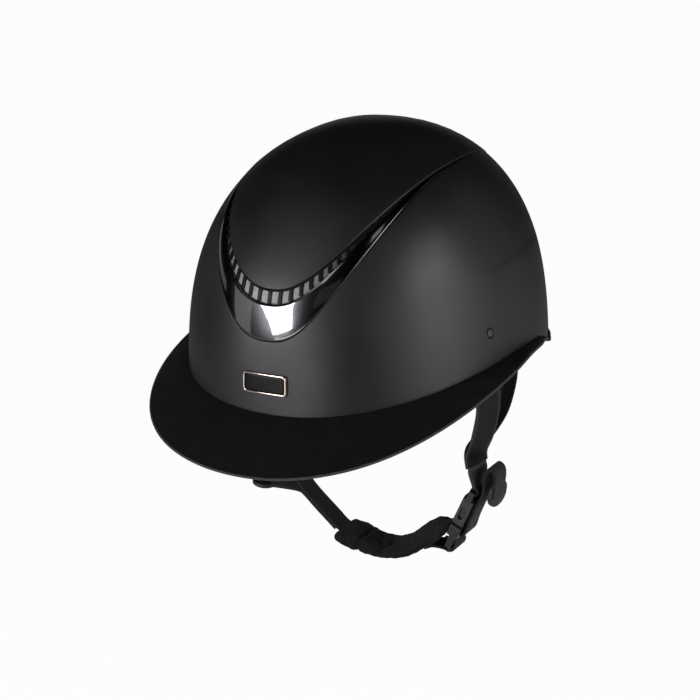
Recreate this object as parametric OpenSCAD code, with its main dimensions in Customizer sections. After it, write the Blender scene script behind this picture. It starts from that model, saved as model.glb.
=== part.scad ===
// Riding helmet with a wide brim, a framed front vent, a dial fit and a buckled chin strap.
// Millimetres. +X is the wearer's left, the front faces -Y and +Z is up.
// The origin is the middle of the head opening, level with the wearer's headband line.

/* [Shell] */
// Half width of the shell at its widest
half_w = 109; // [104:0.5:114]
// Head opening's middle to the shell's front face
front_l = 131.5; // [126:0.5:137]
// Head opening's middle to the shell's rear face
rear_l = 140.5; // [135:0.5:146]
// Height of the crown above the head opening
crown_h = 135.7; // [130:0.1:142]
// Depth below the head opening where the walls stand upright
wall_drop = 38; // [34:0.5:42]
// Squareness of the outline seen from above, 2 is an ellipse
plan_n = 2.31; // [2.1:0.01:2.5]
// Fullness of the crown
dome_m = 2.84; // [2.6:0.01:3]
// Fullness of the shoulders below the crown
dome_k = 2.08; // [2:0.01:2.2]
// Rearward lean of the crown
lean = 2.7; // [0:0.1:5]
// Wall of the shell
shell_t = 4; // [3.6:0.1:5]
// Height of the lower edge at the front
rim_front_z = -20.3; // [-24:0.1:-17]
// Height of the lower edge at the sides
rim_side_z = -7.8; // [-11:0.1:-5]
// Height of the lower edge at the rear, before the nape drop
rim_rear_z = -30; // [-34:0.1:-26]
// Extra drop of the lower edge over the nape
nape_drop = 12; // [8:0.5:14]

/* [Crown panel, vent and trim] */
// Depth of the seat that the crown panel and the trim lie in
seat_depth = 2.4; // [2:0.1:2.8]
// How far the crown panel stands proud of the shell
panel_proud = 0.4; // [0:0.1:0.8]
// Half width of the crown panel
panel_half_w = 63; // [60:0.5:66]
// Front edge of the crown panel
panel_front_y = -117.4; // [-119:0.1:-115]
// Rear edge of the crown panel
panel_rear_y = 122; // [118:0.5:126]
// Front edge of the vent under the crown panel
vent_front_y = -120.5; // [-122:0.1:-119.5]
// Front edge of the trim below the vent
trim_front_y = -126.4; // [-127.5:0.1:-125]
// Half width of the trim
trim_half_w = 64.6; // [64.2:0.1:65.5]
// Angle from the front at which the trim runs out
trim_tip = 105; // [95:5:105]
// How far the middle of the trim stands proud
trim_crown = 0.9; // [0.4:0.1:1.4]
// Ribs on each side of the middle one
side_ribs = 12; // [9:1:13]
// Distance from rib to rib along the vent
rib_pitch = 7.5; // [6:0.1:7.6]
// Thickness of a rib
rib_w = 2.6; // [1.6:0.1:3]
// Radius of the air ports behind the vent
port_r = 2.6; // [2:0.1:3]

/* [Brim] */
// Half width of the brim
brim_half_w = 121.8; // [118:0.1:126]
// Head opening's middle to the brim's front edge
brim_front = 167.4; // [160:0.1:172]
// Rear length of the brim's outline, which the tails cut short
brim_rear = 150; // [146:0.5:156]
// Squareness of the brim's outline
brim_n = 2.52; // [2.4:0.01:2.6]
// Height of the brim's edge at the middle
brim_mid_z = -18.6; // [-21:0.1:-16]
// Rise of the brim's edge for each millimetre to the rear
brim_pitch = 0.165; // [0.14:0.005:0.19]
// Rise of the brim's edge at 100 mm to the side
brim_arch = 8.5; // [6:0.1:11]
// Thickness of the brim
brim_t = 3.6; // [3:0.1:4.5]
// Angle from the front at which the brim's tails end
brim_tail = 121; // [118:1:123]

/* [Liner] */
// Gap between pieces that lie against each other
gap = 0.3; // [0.2:0.05:0.4]
// Thickness of the impact liner
liner_t = 23; // [20:0.5:26]
// How far the impact liner shows below the shell at the nape
liner_show = 4; // [2:0.5:6]
// Thickness of the comfort pads
pad_t = 5; // [4:0.5:6]

/* [Fit dial] */
// Radius of the pitch arc of the racks
rack_r = 84.9; // [83:0.1:87]
// Middle of the racks' arc behind the head opening's middle
rack_y = 18; // [15:0.5:21]
// Height of the dial's axis
dial_z = -66; // [-69:0.5:-65]
// Tooth size of the pinion and the racks
tooth_m = 1; // [0.9:0.05:1.1]
// Teeth of the pinion
pinion_teeth = 12; // [10:2:14]
// Thickness of a rack band
rack_t = 1.6; // [1.2:0.1:2]
// Radius of the dial's knob
dial_r = 16; // [13:0.5:17]

/* [Harness] */
// Height of the side rivets
rivet_z = 15.1; // [12:0.1:18]
// Angle of the side rivets from the front
rivet_u = 77.5; // [74:0.5:80]
// Radius of a rivet's head
rivet_r = 2.9; // [2.4:0.1:3.4]
// Thickness of the leather legs
leather_t = 1.8; // [1.4:0.1:2.2]
// Width of a leather leg at the top
leg_w = 23.5; // [20:0.5:25]
// Width of a leather leg at its foot
leg_foot_w = 20; // [16:0.5:22]
// Width of the webbing
web_w = 16; // [14:0.5:18]
// Thickness of the webbing
web_t = 1.7; // [1.3:0.1:2]
// Sideways place of the strap joints
joint_x = 70; // [68:0.5:72]
// Fore and aft place of the strap joints
joint_y = 18; // [15:0.5:19]
// Height of the strap joints
joint_z = -118.5; // [-121:0.5:-117]
// Radius of the bars that the straps hang on
bar_r = 1.6; // [1.3:0.1:1.9]
// Width of the buckle
buckle_w = 24; // [22:0.5:27]
// Thickness of the buckle
buckle_t = 8.4; // [7.5:0.1:9.5]
// Width of the chin pad
chin_pad_w = 38; // [34:1:42]
// Thickness of the chin pad
chin_pad_t = 7; // [6:0.5:8]

/* [Hidden] */
$fn = 48;

// Derived sizes
cols = 72;
wall_z = -wall_drop;
dome_h = crown_h + wall_drop;
liner_d = shell_t + gap;
liner_in = liner_d + liner_t;
// The liner's flats stand this far inside its true form
flat_rise = 0.6;
on_liner = liner_in + flat_rise;
panel_mid_y = -5;
// Each outline is half width, front, middle, rear and squareness
panel_line = [panel_half_w, panel_front_y, panel_mid_y, panel_rear_y, 2.3];
vent_line = [panel_half_w + 0.4, vent_front_y, -12, 118, 2.35];
trim_line = [trim_half_w, trim_front_y, -20, 97, 2.5];
us = [for (i = [0:cols - 1]) i * 360 / cols];
floor_f = [0.25, 0.5, 0.75, 0.92, 1];
wall_f = [0.82, 0.6, 0.38, 0.18, 0];
side_z = 34;
inner_f = [0.5, 1];
inner_s = [0.9, 0.8, 0.66, 0.5, 0.33, 0.16];

// Small helpers
function mix(a, b, f) = a + (b - a) * f;
function smooth(x) = let (c = max(0, min(1, x))) c * c * (3 - 2 * c);
function unit(v) = v / norm(v);
function side(u) = abs((u + 540) % 360 - 180);

// The shell's form: u is the angle from the front, s the share of the outline, d the depth inside
function plan_r(u) = pow(pow(abs(sin(u)), plan_n) + pow(abs(cos(u)), plan_n), -1 / plan_n);
function half_l(u) = cos(u) > 0 ? front_l : rear_l;
function dome_pt(u, s, t, d) = [
    (half_w - d) * s * plan_r(u) * sin(u),
    -(half_l(u) - d) * s * plan_r(u) * cos(u) + lean * t,
    wall_z + (dome_h - d) * t
];
function at_s(u, s, d) = dome_pt(u, s, pow(1 - pow(s, dome_k), 1 / dome_m), d);
function at_z(u, z, d) =
    let (t = max(0, min(1, (z - wall_z) / (dome_h - d))), p = dome_pt(u, pow(1 - pow(t, dome_m),
        1 / dome_k), t, d)) [p[0], p[1], z];
function apex(d) = at_s(0, 0, d);
function z_of(u, s) = at_s(u, s, 0)[2];
// Moves a share along the meridian by a length
function along(u, s, length) = s + length * 0.002 / norm(at_s(u, s + 0.001, 0) - at_s(u, s - 0.001, 0));
function normal_at(u, z, d) =
    unit(cross(at_z(u + 0.5, z, d) - at_z(u - 0.5, z, d), at_z(u, z + 0.5, d) - at_z(u, z - 0.5, d)));

// Height of the shell's lower edge
rim_mean = (rim_front_z + rim_rear_z) / 2;
function rim_z(u) = (rim_mean + rim_side_z) / 2 + (rim_front_z - rim_rear_z) / 2 * cos(u)
    + (rim_mean - rim_side_z) / 2 * cos(2 * u) - nape_drop * smooth((side(u) - 105) / 24);
function liner_rim(u) = rim_z(u) + 0.4 - (liner_show + 0.4) * smooth((side(u) - 110) / 14);

// Share of the outline at which a closed line seen from above crosses the meridian u
function level(p, line) = pow(abs(p[0]) / line[0], line[4])
    + pow(abs(p[1] - line[2]) / (p[1] < line[2] ? line[2] - line[1] : line[3] - line[2]), line[4]);
function line_s(u, line, lo = 0, hi = 1, n = 22) =
    let (m = (lo + hi) / 2)
    n == 0 ? m : level(at_s(u, m, 0), line) < 1 ? line_s(u, line, m, hi, n - 1)
    : line_s(u, line, lo, m, n - 1);
function panel_s(u) = line_s(u, panel_line);
function vent_s(u) = max(line_s(u, vent_line), panel_s(u));
function trim_s(u) = max(line_s(u, trim_line), vent_s(u));
function seat_s(u) = side(u) < trim_tip + 0.5 ? max(trim_s(u), along(u, vent_s(u), 0.5)) : panel_s(u);

// A closed skin of rings, from the middle of its outside down and up again inside
module bell(rings, top, bottom) {
    n = len(rings[0]);
    m = len(rings);
    sides = [for (i = [0:m - 2]) for (j = [0:n - 1]) let (k = (j + 1) % n)
        each [[i * n + j, i * n + k, (i + 1) * n + k], [i * n + j, (i + 1) * n + k, (i + 1) * n + j]]];
    caps = [for (j = [0:n - 1]) let (k = (j + 1) % n)
        each [[n * m, k, j], [n * m + 1, (m - 1) * n + j, (m - 1) * n + k]]];
    polyhedron([for (r = rings) each r, top, bottom], [each sides, each caps]);
}

// A solid through like sections, each its outer side and then its inner side back
module loft(secs) {
    n = len(secs[0]);
    m = len(secs);
    e = (m - 1) * n;
    sides = [for (i = [0:m - 2]) for (j = [0:n - 1]) let (k = (j + 1) % n)
        each [[i * n + j, i * n + k, (i + 1) * n + k], [i * n + j, (i + 1) * n + k, (i + 1) * n + j]]];
    caps = [for (j = [0:n / 2 - 2]) let (a = n - 1 - j, b = n - 2 - j)
        each [[j, a, b], [j, b, j + 1], [e + j, e + b, e + a], [e + j, e + j + 1, e + b]]];
    polyhedron([for (s = secs) each s], [each sides, each caps]);
}

function back(v) = [for (i = [len(v) - 1:-1:0]) v[i]];

// Places children on the shell, with +Z pointing out of it
module on_wall(u, z, d = 0) {
    n = normal_at(u, z, d);
    translate(at_z(u, z, d))
        rotate([0, acos(n[2]), atan2(n[1], n[0])])
            children();
}

// Rings that the shell's inside and the liner's outside share
function inner_rings(cols_u, d) = [
    for (f = inner_f) [for (u = cols_u) at_z(u, mix(rim_z(u), side_z, f), d)],
    for (f = inner_s) [for (u = cols_u) at_s(u, f, d)]
];
function ring_s(f, d) = [for (u = us) at_s(u, f * seat_edge(u), d)];
function ring_z(f, d) = [for (u = us) at_z(u, mix(rim_z(u), z_of(u, seat_edge(u)), f), d)];
function seat_edge(u) = along(u, seat_s(u), gap);

// Air ports through the seat, the shell and the liner, in the middle of the vent
port_us = [-36, -24, -12, 0, 12, 24, 36];
module air_ports() {
    for (u = port_us) {
        z = z_of(u, (vent_s(u) + panel_s(u)) / 2);
        on_wall(u, z)
            translate([0, 0, -liner_in - 8])
                cylinder(r = port_r, h = liner_in + 7, $fn = 24);
    }
}

module rivet_bores(r) {
    for (k = [-1, 1])
        on_wall(k * rivet_u, rivet_z)
            translate([0, 0, -liner_in - 3])
                cylinder(r = r, h = liner_in + 6, $fn = 32);
}

module outer_shell() {
    lip = 0.4;
    rings = [
        for (f = floor_f) ring_s(f, seat_depth),
        [for (u = us) at_s(u, seat_edge(u), lip)],
        [for (u = us) at_s(u, along(u, seat_edge(u), lip), 0)],
        for (f = wall_f) ring_z(f, 0),
        ring_z(0, shell_t),
        each inner_rings(us, shell_t)
    ];
    color("#1b1b1d")
        difference() {
            bell(rings, apex(seat_depth), apex(shell_t));
            rivet_bores(1.65);
            air_ports();
        }
}

module crown_panel() {
    under = seat_depth - gap - 0.7;
    edge = [for (u = us) panel_s(u)];
    function ring(f, d) = [for (i = [0:cols - 1]) at_s(us[i], f * edge[i], d)];
    rings = [
        for (f = [0.3, 0.6, 0.85]) ring(f, -panel_proud),
        [for (i = [0:cols - 1]) at_s(us[i], along(us[i], edge[i], -1.2), -panel_proud)],
        ring(1, 0.3),
        ring(1, under),
        for (f = [0.85, 0.7, 0.55, 0.4, 0.25, 0.12]) ring(f, under)
    ];
    color("#1d1d1f")
        bell(rings, apex(-panel_proud), apex(under));
}

// Glossy crescent below the vent
module front_trim() {
    under = seat_depth - gap;
    secs = [for (u = [-trim_tip:5:trim_tip]) let (
        up = along(u, vent_s(u), max(0, 0.2 - (vent_s(u) - panel_s(u)) * 100)),
        full = max(trim_s(u), along(u, vent_s(u), 0.5)),
        bulge = trim_crown * min(1, (full - up) * 16))
        [at_s(u, full, 0.2), at_s(u, mix(full, up, 0.3), 0.1 - bulge),
         at_s(u, mix(full, up, 0.7), 0.1 - bulge), at_s(u, up, 0.2),
         at_s(u, up, under), at_s(u, mix(full, up, 0.7), under),
         at_s(u, mix(full, up, 0.3), under), at_s(u, full, under)]];
    color("#303236")
        loft(secs);
}

// Angle from the front at each length along the vent's middle line
vent_table = [for (u = [-92:2:92]) at_s(u, (vent_s(u) + panel_s(u)) / 2, 0)];
vent_len = [for (i = 0, l = 0; i < len(vent_table);
    l = l + (i < len(vent_table) - 1 ? norm(vent_table[i + 1] - vent_table[i]) : 0), i = i + 1) l];
vent_key = [for (i = [0:len(vent_table) - 1]) [vent_len[i] - vent_len[46], -92 + 2 * i]];
vent_end = 80;
mesh_d = 1.3;

module vent_mesh() {
    secs = [for (u = [-vent_end:5:vent_end]) let (
        up = along(u, panel_s(u), 0.25),
        lo = max(along(u, vent_s(u), -0.25), along(u, up, 0.2)))
        [at_s(u, lo, mesh_d), at_s(u, up, mesh_d),
         at_s(u, up, seat_depth - gap), at_s(u, lo, seat_depth - gap)]];
    color("#6d6f73")
        loft(secs);
}

// One end section of a rib, from its top edge to its foot at the mesh
function rib_end(v) = let (up = along(v, panel_s(v), 0.5), lo = max(along(v, vent_s(v), -0.6), along(v, up, 0.3)))
    [at_s(v, lo, 0.3), at_s(v, up, 0.3), at_s(v, up, mesh_d - gap), at_s(v, lo, mesh_d - gap)];

// Comb of ribs on a thin rail that runs along the crown panel
module vent_ribs() {
    rail = [for (u = [-vent_end:5:vent_end]) let (
        up = along(u, panel_s(u), 0.3),
        lo = max(min(along(u, up, 0.7), along(u, vent_s(u), -0.4)), along(u, up, 0.1)))
        [at_s(u, lo, 0.5), at_s(u, up, 0.5), at_s(u, up, mesh_d - gap), at_s(u, lo, mesh_d - gap)]];
    color("#0e0e10")
        union() {
            loft(rail);
            for (i = [-side_ribs:side_ribs]) {
                u = lookup(i * rib_pitch, vent_key);
                half = abs(lookup(i * rib_pitch + rib_w / 2, vent_key) - u);
                loft([rib_end(u - half), rib_end(u + half)]);
            }
        }
}

// Badge: a bare plate in a frame, bent to the front of the shell
badge_w = 32;
badge_h = 13.6;
badge_z = 0.5;
badge_curve = 186;
badge_rim = 1.7;
module badge_arc(w, h, r0, r1) {
    a = w / badge_curve * 180 / PI;
    on_wall(0, badge_z)
        rotate([0, 0, -90])
            translate([0, 0, -badge_curve])
                rotate([90, 0, 0])
                    rotate([0, 0, 90 - a / 2])
                        rotate_extrude(angle = a, $fn = 96)
                            translate([badge_curve + r0, -h / 2])
                                square([r1 - r0, h]);
}

module badge_frame() {
    color("#b9a9a0")
        difference() {
            badge_arc(badge_w, badge_h, 0.1, 1.9);
            badge_arc(badge_w - 2 * badge_rim, badge_h - 2 * badge_rim, 0.7, 3);
        }
}

module badge_plate() {
    inset = badge_rim + 0.1;
    color("#131316")
        badge_arc(badge_w - 2 * inset, badge_h - 2 * inset, 0.75, 1.4);
}

// Brim: its outer edge, blended to the shell at the tails
function brim_plan_r(u) = pow(pow(abs(sin(u)), brim_n) + pow(abs(cos(u)), brim_n), -1 / brim_n);
function brim_edge(u) = let (
    r = brim_plan_r(u),
    x = brim_half_w * r * sin(u),
    y = -(cos(u) > 0 ? brim_front : brim_rear) * r * cos(u),
    w = at_z(u, rim_z(u), 0),
    keep = 1 - smooth((side(u) - 80) / 42),
    level = smooth((side(u) - 80) / 25),
    z = brim_mid_z + brim_pitch * y + brim_arch * x * x / 10000)
    [mix(w[0], x, keep), mix(w[1], y, keep), mix(z, rim_z(u) - 1.2, level)];
function brim_thick(u) = mix(brim_t, 1.6, smooth((side(u) - 85) / 35));
function flange_d(u) = mix(12, shell_t - 0.1, smooth((side(u) - 90) / 16));

module brim() {
    steps = 60;
    secs = [for (i = [0:steps]) let (
        u = mix(-brim_tail, brim_tail, i / steps),
        z = rim_z(u) - gap,
        t = brim_thick(u),
        e = brim_edge(u),
        root = at_z(u, z, -0.8 * min(1, norm([e[0], e[1]] - [at_z(u, z, 0)[0], at_z(u, z, 0)[1]]) / 4)),
        a = at_z(u, z, flange_d(u)),
        b = at_z(u, z, shell_t / 2),
        // Unit step outwards along the brim, to round its edge
        o = unit([e[0] - b[0], e[1] - b[1], 0]),
        hump = 1.6 * min(1, norm(e - b) / 30),
        m = mix(root, e, 0.55) + [0, 0, hump],
        down = [0, 0, -t])
        [a, b, root, m, e - o * t * 0.45, e + down * 0.35,
         e + down * 0.7, e + down - o * t * 0.5, m + down, root + down, b + down, a + down]];
    color("#141416")
        loft([for (v = secs) back(v)]);
}

// Thin bead along the brim's edge
module brim_binding() {
    steps = 52;
    r = 0.75;
    tail = brim_tail - 8;
    secs = [for (i = [0:steps]) let (
        u = mix(-tail, tail, i / steps),
        e = brim_edge(u) - [0, 0, brim_thick(u) * 0.52],
        o = unit([brim_edge(u)[0], brim_edge(u)[1], 0]),
        c = e + o * (r + 0.25))
        [for (a = [135, 45, -45, -135]) c + o * r * cos(a) + [0, 0, r * sin(a)]]];
    color("#3a3a3e")
        loft([for (v = secs) back(v)]);
}

// Soft strip over the shell's lower edge behind the brim's tails
module rear_edge_trim() {
    steps = 26;
    from = brim_tail + 0.8;
    lip = 4.6;
    under = 2.2;
    secs = [for (i = [0:steps]) let (
        u = mix(from, 360 - from, i / steps),
        z = rim_z(u))
        [at_z(u, z + lip, -1.2), at_z(u, z - under, -1.7), at_z(u, z - under, shell_t - 0.4),
         at_z(u, z - gap, shell_t - 0.4), at_z(u, z - gap, -gap), at_z(u, z + lip, -gap)]];
    color("#1a1a1c")
        loft([for (v = secs) back(v)]);
}

module impact_liner() {
    even = [for (i = [0:2:cols - 1]) us[i]];
    outside = inner_rings(even, liner_d);
    chamfer = 6;
    rings = [
        for (i = [len(outside) - 1:-1:0]) outside[i],
        [for (u = even) at_z(u, liner_rim(u), liner_d)],
        [for (u = even) at_z(u, liner_rim(u), liner_in - chamfer)],
        [for (u = even) at_z(u, liner_rim(u) + chamfer, liner_in)],
        for (z = [9, 28]) [for (u = even) at_z(u, z, liner_in)],
        for (f = [0.88, 0.76, 0.6, 0.4, 0.2]) [for (u = even) at_s(u, f, liner_in)]
    ];
    color("#2a2a2c")
        difference() {
            bell(rings, apex(liner_d), apex(liner_in));
            rivet_bores(1.7);
            air_ports();
        }
}

// Padded band against the forehead
module forehead_pad() {
    steps = 32;
    reach = 62;
    out = liner_in + 1.1;
    top = 6;
    secs = [for (i = [0:steps]) let (
        u = mix(-reach, reach, i / steps),
        end = smooth((reach - abs(u)) / 8),
        z0 = rim_z(u) + 7,
        t = mix(1.5, pad_t, end),
        h = top - z0)
        [at_z(u, z0, out), at_z(u, z0 + h * 0.5, out), at_z(u, top, out),
         at_z(u, top - 2, out + t * 0.7), at_z(u, z0 + h * 0.5, out + t), at_z(u, z0 + 2, out + t * 0.7)]];
    color("#232325")
        loft(secs);
}

// Soft pad under the crown
module crown_pad() {
    even = [for (i = [0:2:cols - 1]) us[i]];
    out = liner_in + 1.3;
    reach = 0.62;
    function ring(f, d) = [for (u = even) at_s(u, f * reach, d)];
    color("#232325")
        bell([ring(0.5, out), ring(0.95, out), ring(1, out + pad_t * 0.4),
              ring(0.93, out + pad_t * 0.9), ring(0.5, out + pad_t)],
            apex(out), apex(out + pad_t));
}

// The fit system lies on arcs about an upright line through [0, rack_y]
rack_gap = 0.5;
cradle_out = rack_r - rack_t / 2 - rack_gap;
cradle_t = 2.2;
housing_in = rack_r + rack_t / 2 + rack_gap;
housing_t = 2.4;
housing_a = 15.5;
housing_h = 13;
housing_wall = 2.2;
channel_h = housing_h - housing_wall;
rack_tip_a = 12.5;
rack_band_a = 23.7;
rack_end_a = 58;
pitch_r = tooth_m * pinion_teeth / 2;
shaft_r = 3;
journal_r = 2;
backlash = 0.28;
// The racks' bands stay clear of each other's tooth tips
rack_addendum = 0.62 * tooth_m;
band_h = pitch_r - rack_addendum - gap;

module arc_bar(r0, r1, a0, a1, z0, z1) {
    translate([0, rack_y, dial_z])
        rotate([0, 0, 90 + a0])
            rotate_extrude(angle = a1 - a0, $fn = 128)
                translate([r0, z0])
                    square([r1 - r0, z1 - z0]);
}

// Places children at the dial, with +Z pointing to the rear
module at_dial(y = 0) {
    translate([0, y, dial_z])
        rotate([-90, 0, 0])
            children();
}

screw_a = 11;
screw_z = (channel_h + housing_h) / 2;
module screws(r, from, length) {
    for (a = [-screw_a, screw_a], k = [-1, 1])
        translate([0, rack_y, dial_z + k * screw_z])
            rotate([0, 0, a])
                translate([0, from, 0])
                    rotate([-90, 0, 0])
                        cylinder(r = r, h = length, $fn = 24);
}

// Arm from the cradle's band up to the inside of the liner, on one side
module cradle_arm() {
    a = 50;
    foot = [cradle_out - 1.1, rack_y, dial_z];
    path = [
        [foot[0] * sin(a), rack_y + foot[0] * cos(a), dial_z],
        [foot[0] * sin(a), rack_y + foot[0] * cos(a), dial_z + 14],
        at_z(129, -26, liner_in + 2.6),
        at_z(129, -6, liner_in + 2.3)
    ];
    strap(path, 11, 11, [40, 40, 29, 29], 1.5);
}

// Loop on the cradle's outside that keeps a rack in its place
module rack_loop(a) {
    difference() {
        arc_bar(cradle_out - 0.6, housing_in + 1.3, a - 1.6, a + 1.6, -band_h - 2, band_h + 2);
        arc_bar(cradle_out - 1.2, housing_in, a - 3, a + 3, -band_h - 0.4, band_h + 0.4);
    }
}

module nape_cradle() {
    in = cradle_out - cradle_t;
    hook_a = 44;
    low = 7;
    color("#5d6065")
        difference() {
            union() {
                difference() {
                    arc_bar(in, cradle_out, -rack_end_a - 2, rack_end_a + 2, -housing_h, housing_h);
                    for (k = [0, 1], m = [0, 1])
                        mirror([k, 0, 0])
                            arc_bar(in - 2, cradle_out + 2, housing_a, rack_end_a + 5, m > 0 ? low : -housing_h - 2,
                                m > 0 ? housing_h + 2 : -low);
                }
                for (k = [-1, 1])
                    rack_loop(k * hook_a);
                cradle_arm();
                mirror([1, 0, 0])
                    cradle_arm();
            }
            at_dial(rack_y + cradle_out - 1.4)
                cylinder(r = journal_r + 0.05, h = 5);
            screws(1.05, cradle_out - 4, 6);
        }
}

module nape_pad() {
    steps = 24;
    reach = 36;
    out = cradle_out - cradle_t - 1.2;
    secs = [for (i = [0:steps]) let (
        a = mix(-reach, reach, i / steps),
        end = smooth((reach - abs(a)) / 7),
        t = mix(1.5, pad_t, end),
        h = mix(housing_h - 6, housing_h - 3, end))
        [for (q = [[0, -h], [0, 0], [0, h], [t * 0.7, h - 1.5], [t, 0], [t * 0.7, -h + 1.5]])
            let (r = out - q[0]) [-r * sin(a), rack_y + r * cos(a), dial_z + q[1]]]];
    color("#232325")
        loft(secs);
}

boss_y = rack_y + housing_in + housing_t + 0.6;
module dial_housing() {
    color("#202124")
        difference() {
            union() {
                arc_bar(housing_in, housing_in + housing_t, -housing_a, housing_a, -housing_h, housing_h);
                for (z = [-housing_h, channel_h])
                    arc_bar(cradle_out + 0.2, housing_in + 0.5, -housing_a, housing_a, z,
                        z + housing_h - channel_h);
                at_dial(boss_y - 3)
                    cylinder(r = 11, h = 3);
            }
            at_dial(boss_y - 8)
                cylinder(r = shaft_r + 0.05, h = 10);
            screws(1, cradle_out - 1, 4.5);
        }
}

module housing_screws() {
    color("#8d9095")
        union() {
            screws(0.95, cradle_out - cradle_t - 0.3, 6);
            screws(1.8, cradle_out - cradle_t - 1, 0.8);
        }
}

// Involute outline of the pinion
press_a = 20;
base_r = pitch_r * cos(press_a);
tip_r = pitch_r + tooth_m;
root_r = pitch_r - tooth_m * 0.98;
function involute(a) = base_r * [cos(a) + a * PI / 180 * sin(a), sin(a) - a * PI / 180 * cos(a)];
function spin(p, a) = [p[0] * cos(a) - p[1] * sin(a), p[0] * sin(a) + p[1] * cos(a)];
function tooth_side() = let (
    far = acos(base_r / tip_r),
    roll = sqrt(pow(tip_r / base_r, 2) - 1) * 180 / PI,
    pitch_roll = sqrt(pow(pitch_r / base_r, 2) - 1) * 180 / PI,
    pitch_at = atan2(involute(pitch_roll)[1], involute(pitch_roll)[0]),
    half = 90 / pinion_teeth - backlash / 2 / pitch_r * 180 / PI)
    [for (k = [0:4]) spin(involute(roll * k / 4), -pitch_at - half)];
module pinion(h) {
    s = tooth_side();
    pitch_a = 360 / pinion_teeth;
    pts = [for (i = [0:pinion_teeth - 1]) each [
        spin([root_r, -root_r * sin(90 / pinion_teeth)], i * pitch_a),
        for (p = s) spin(p, i * pitch_a),
        for (k = [4:-1:0]) spin([s[k][0], -s[k][1]], i * pitch_a),
        spin([root_r, root_r * sin(90 / pinion_teeth)], i * pitch_a)]];
    rotate([0, 0, 90])
        linear_extrude(h)
            polygon(pts);
}

module fit_dial() {
    knob_h = 8;
    grips = 14;
    knob_y = boss_y + 0.4;
    pinion_y = rack_y + cradle_out + 0.3;
    color("#18181a") {
        at_dial(pinion_y)
            pinion(1.75);
        at_dial(pinion_y - 1.3)
            cylinder(r = journal_r, h = 2);
        at_dial(pinion_y + 1)
            cylinder(r = shaft_r, h = knob_y - pinion_y);
        at_dial(knob_y)
            difference() {
                rotate_extrude($fn = 96)
                    polygon([[0, 0], [dial_r - 1, 0], [dial_r, 1], [dial_r, knob_h - 2],
                        [dial_r - 2, knob_h], [dial_r - 5, knob_h], [dial_r - 6, knob_h - 1.2], [0, knob_h - 1.2]]);
                for (i = [0:grips - 1])
                    rotate([0, 0, i * 360 / grips])
                        translate([dial_r + 1, 0, -1])
                            cylinder(r = 2.2, h = knob_h + 2, $fn = 24);
            }
    }
}

// Rack: a band that narrows to a toothed strip above the pinion
module rack() {
    pitch_deg = tooth_m * 180 / rack_r;
    r0 = rack_r - rack_t / 2;
    add = rack_addendum;
    ded = 1.2 * tooth_m;
    tip_z = pitch_r - add;
    root_z = pitch_r + ded;
    top = channel_h - 0.4;
    slope = tan(press_a);
    // Half the gap between two teeth, at the pitch line
    space = PI * tooth_m / 4 + backlash / 2;
    gaps_left = floor(rack_tip_a / pitch_deg - 0.7);
    color("#3c3f44")
        difference() {
            arc_bar(r0, r0 + rack_t, -rack_end_a, rack_tip_a, -band_h, top);
            arc_bar(r0 - 2, r0 + rack_t + 2, -rack_band_a, rack_tip_a + 3, -band_h - 2, tip_z);
            arc_bar(r0 - 2, r0 + rack_t + 2, -rack_end_a - 3, -rack_band_a - 3, band_h, top + 2);
            for (i = [-gaps_left - 1:gaps_left])
                translate([0, rack_y, dial_z])
                    rotate([0, 0, i * pitch_deg])
                        translate([0, r0 - 2, 0])
                            rotate([90, 0, 180])
                                linear_extrude(rack_t + 4)
                                    polygon([[-space + slope * ded, root_z], [space - slope * ded, root_z],
                                        [space + slope * (add + 1), tip_z - 1], [-space - slope * (add + 1), tip_z - 1]]);
        }
}

module rack_left() {
    rack();
}

// The right rack is the left one turned half round about the dial's axis
module rack_right() {
    translate([0, 0, 2 * dial_z])
        rotate([0, 180, 0])
            rack();
}

// Side rivets: a dimpled head outside, a shank through shell and liner, a washer inside
leg_d = on_liner + 1.25 + leather_t / 2;
stack_d = leg_d + leather_t / 2 + gap;
washer_t = 1.2;
module side_rivets() {
    color("#26262a")
        for (k = [-1, 1])
            on_wall(k * rivet_u, rivet_z)
                rotate_extrude($fn = 48)
                    polygon([[0, -stack_d - washer_t - 0.8], [1.6, -stack_d - washer_t - 0.8], [1.6, 0.15],
                        [rivet_r, 0.15], [rivet_r, 0.6], [rivet_r - 0.7, 1.15], [1.3, 1.3], [1.1, 0.8], [0, 0.7]]);
}

module rivet_washers() {
    color("#8d9095")
        for (k = [-1, 1])
            on_wall(k * rivet_u, rivet_z)
                translate([0, 0, -stack_d - washer_t])
                    difference() {
                        cylinder(r = 7, h = washer_t);
                        translate([0, 0, -1])
                            cylinder(r = 1.7, h = washer_t + 2);
                    }
}

// Studs that hold the rear legs to the liner
anchor_u = 114;
anchor_z = 8;
module anchor_studs() {
    color("#26262a")
        for (k = [-1, 1])
            on_wall(k * anchor_u, anchor_z)
                translate([0, 0, -stack_d]) {
                    translate([0, 0, -1.2])
                        cylinder(r = 8, h = 1.2);
                    cylinder(r = 1.6, h = gap + leather_t + 0.6);
                }
}

// Smooth curve through points
function bend(p, i, f) = let (
    a = p[max(i - 1, 0)], b = p[i], c = p[i + 1], d = p[min(i + 2, len(p) - 1)])
    0.5 * (2 * b + (c - a) * f + (2 * a - 5 * b + 4 * c - d) * f * f + (3 * b - a - 3 * c + d) * f * f * f);
function curve(p, n) = [for (i = [0:len(p) - 2], k = [0:n - 1]) bend(p, i, k / n), p[len(p) - 1]];
function heading(p, i) = unit(p[min(i + 1, len(p) - 1)] - p[max(i - 1, 0)]);

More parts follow.
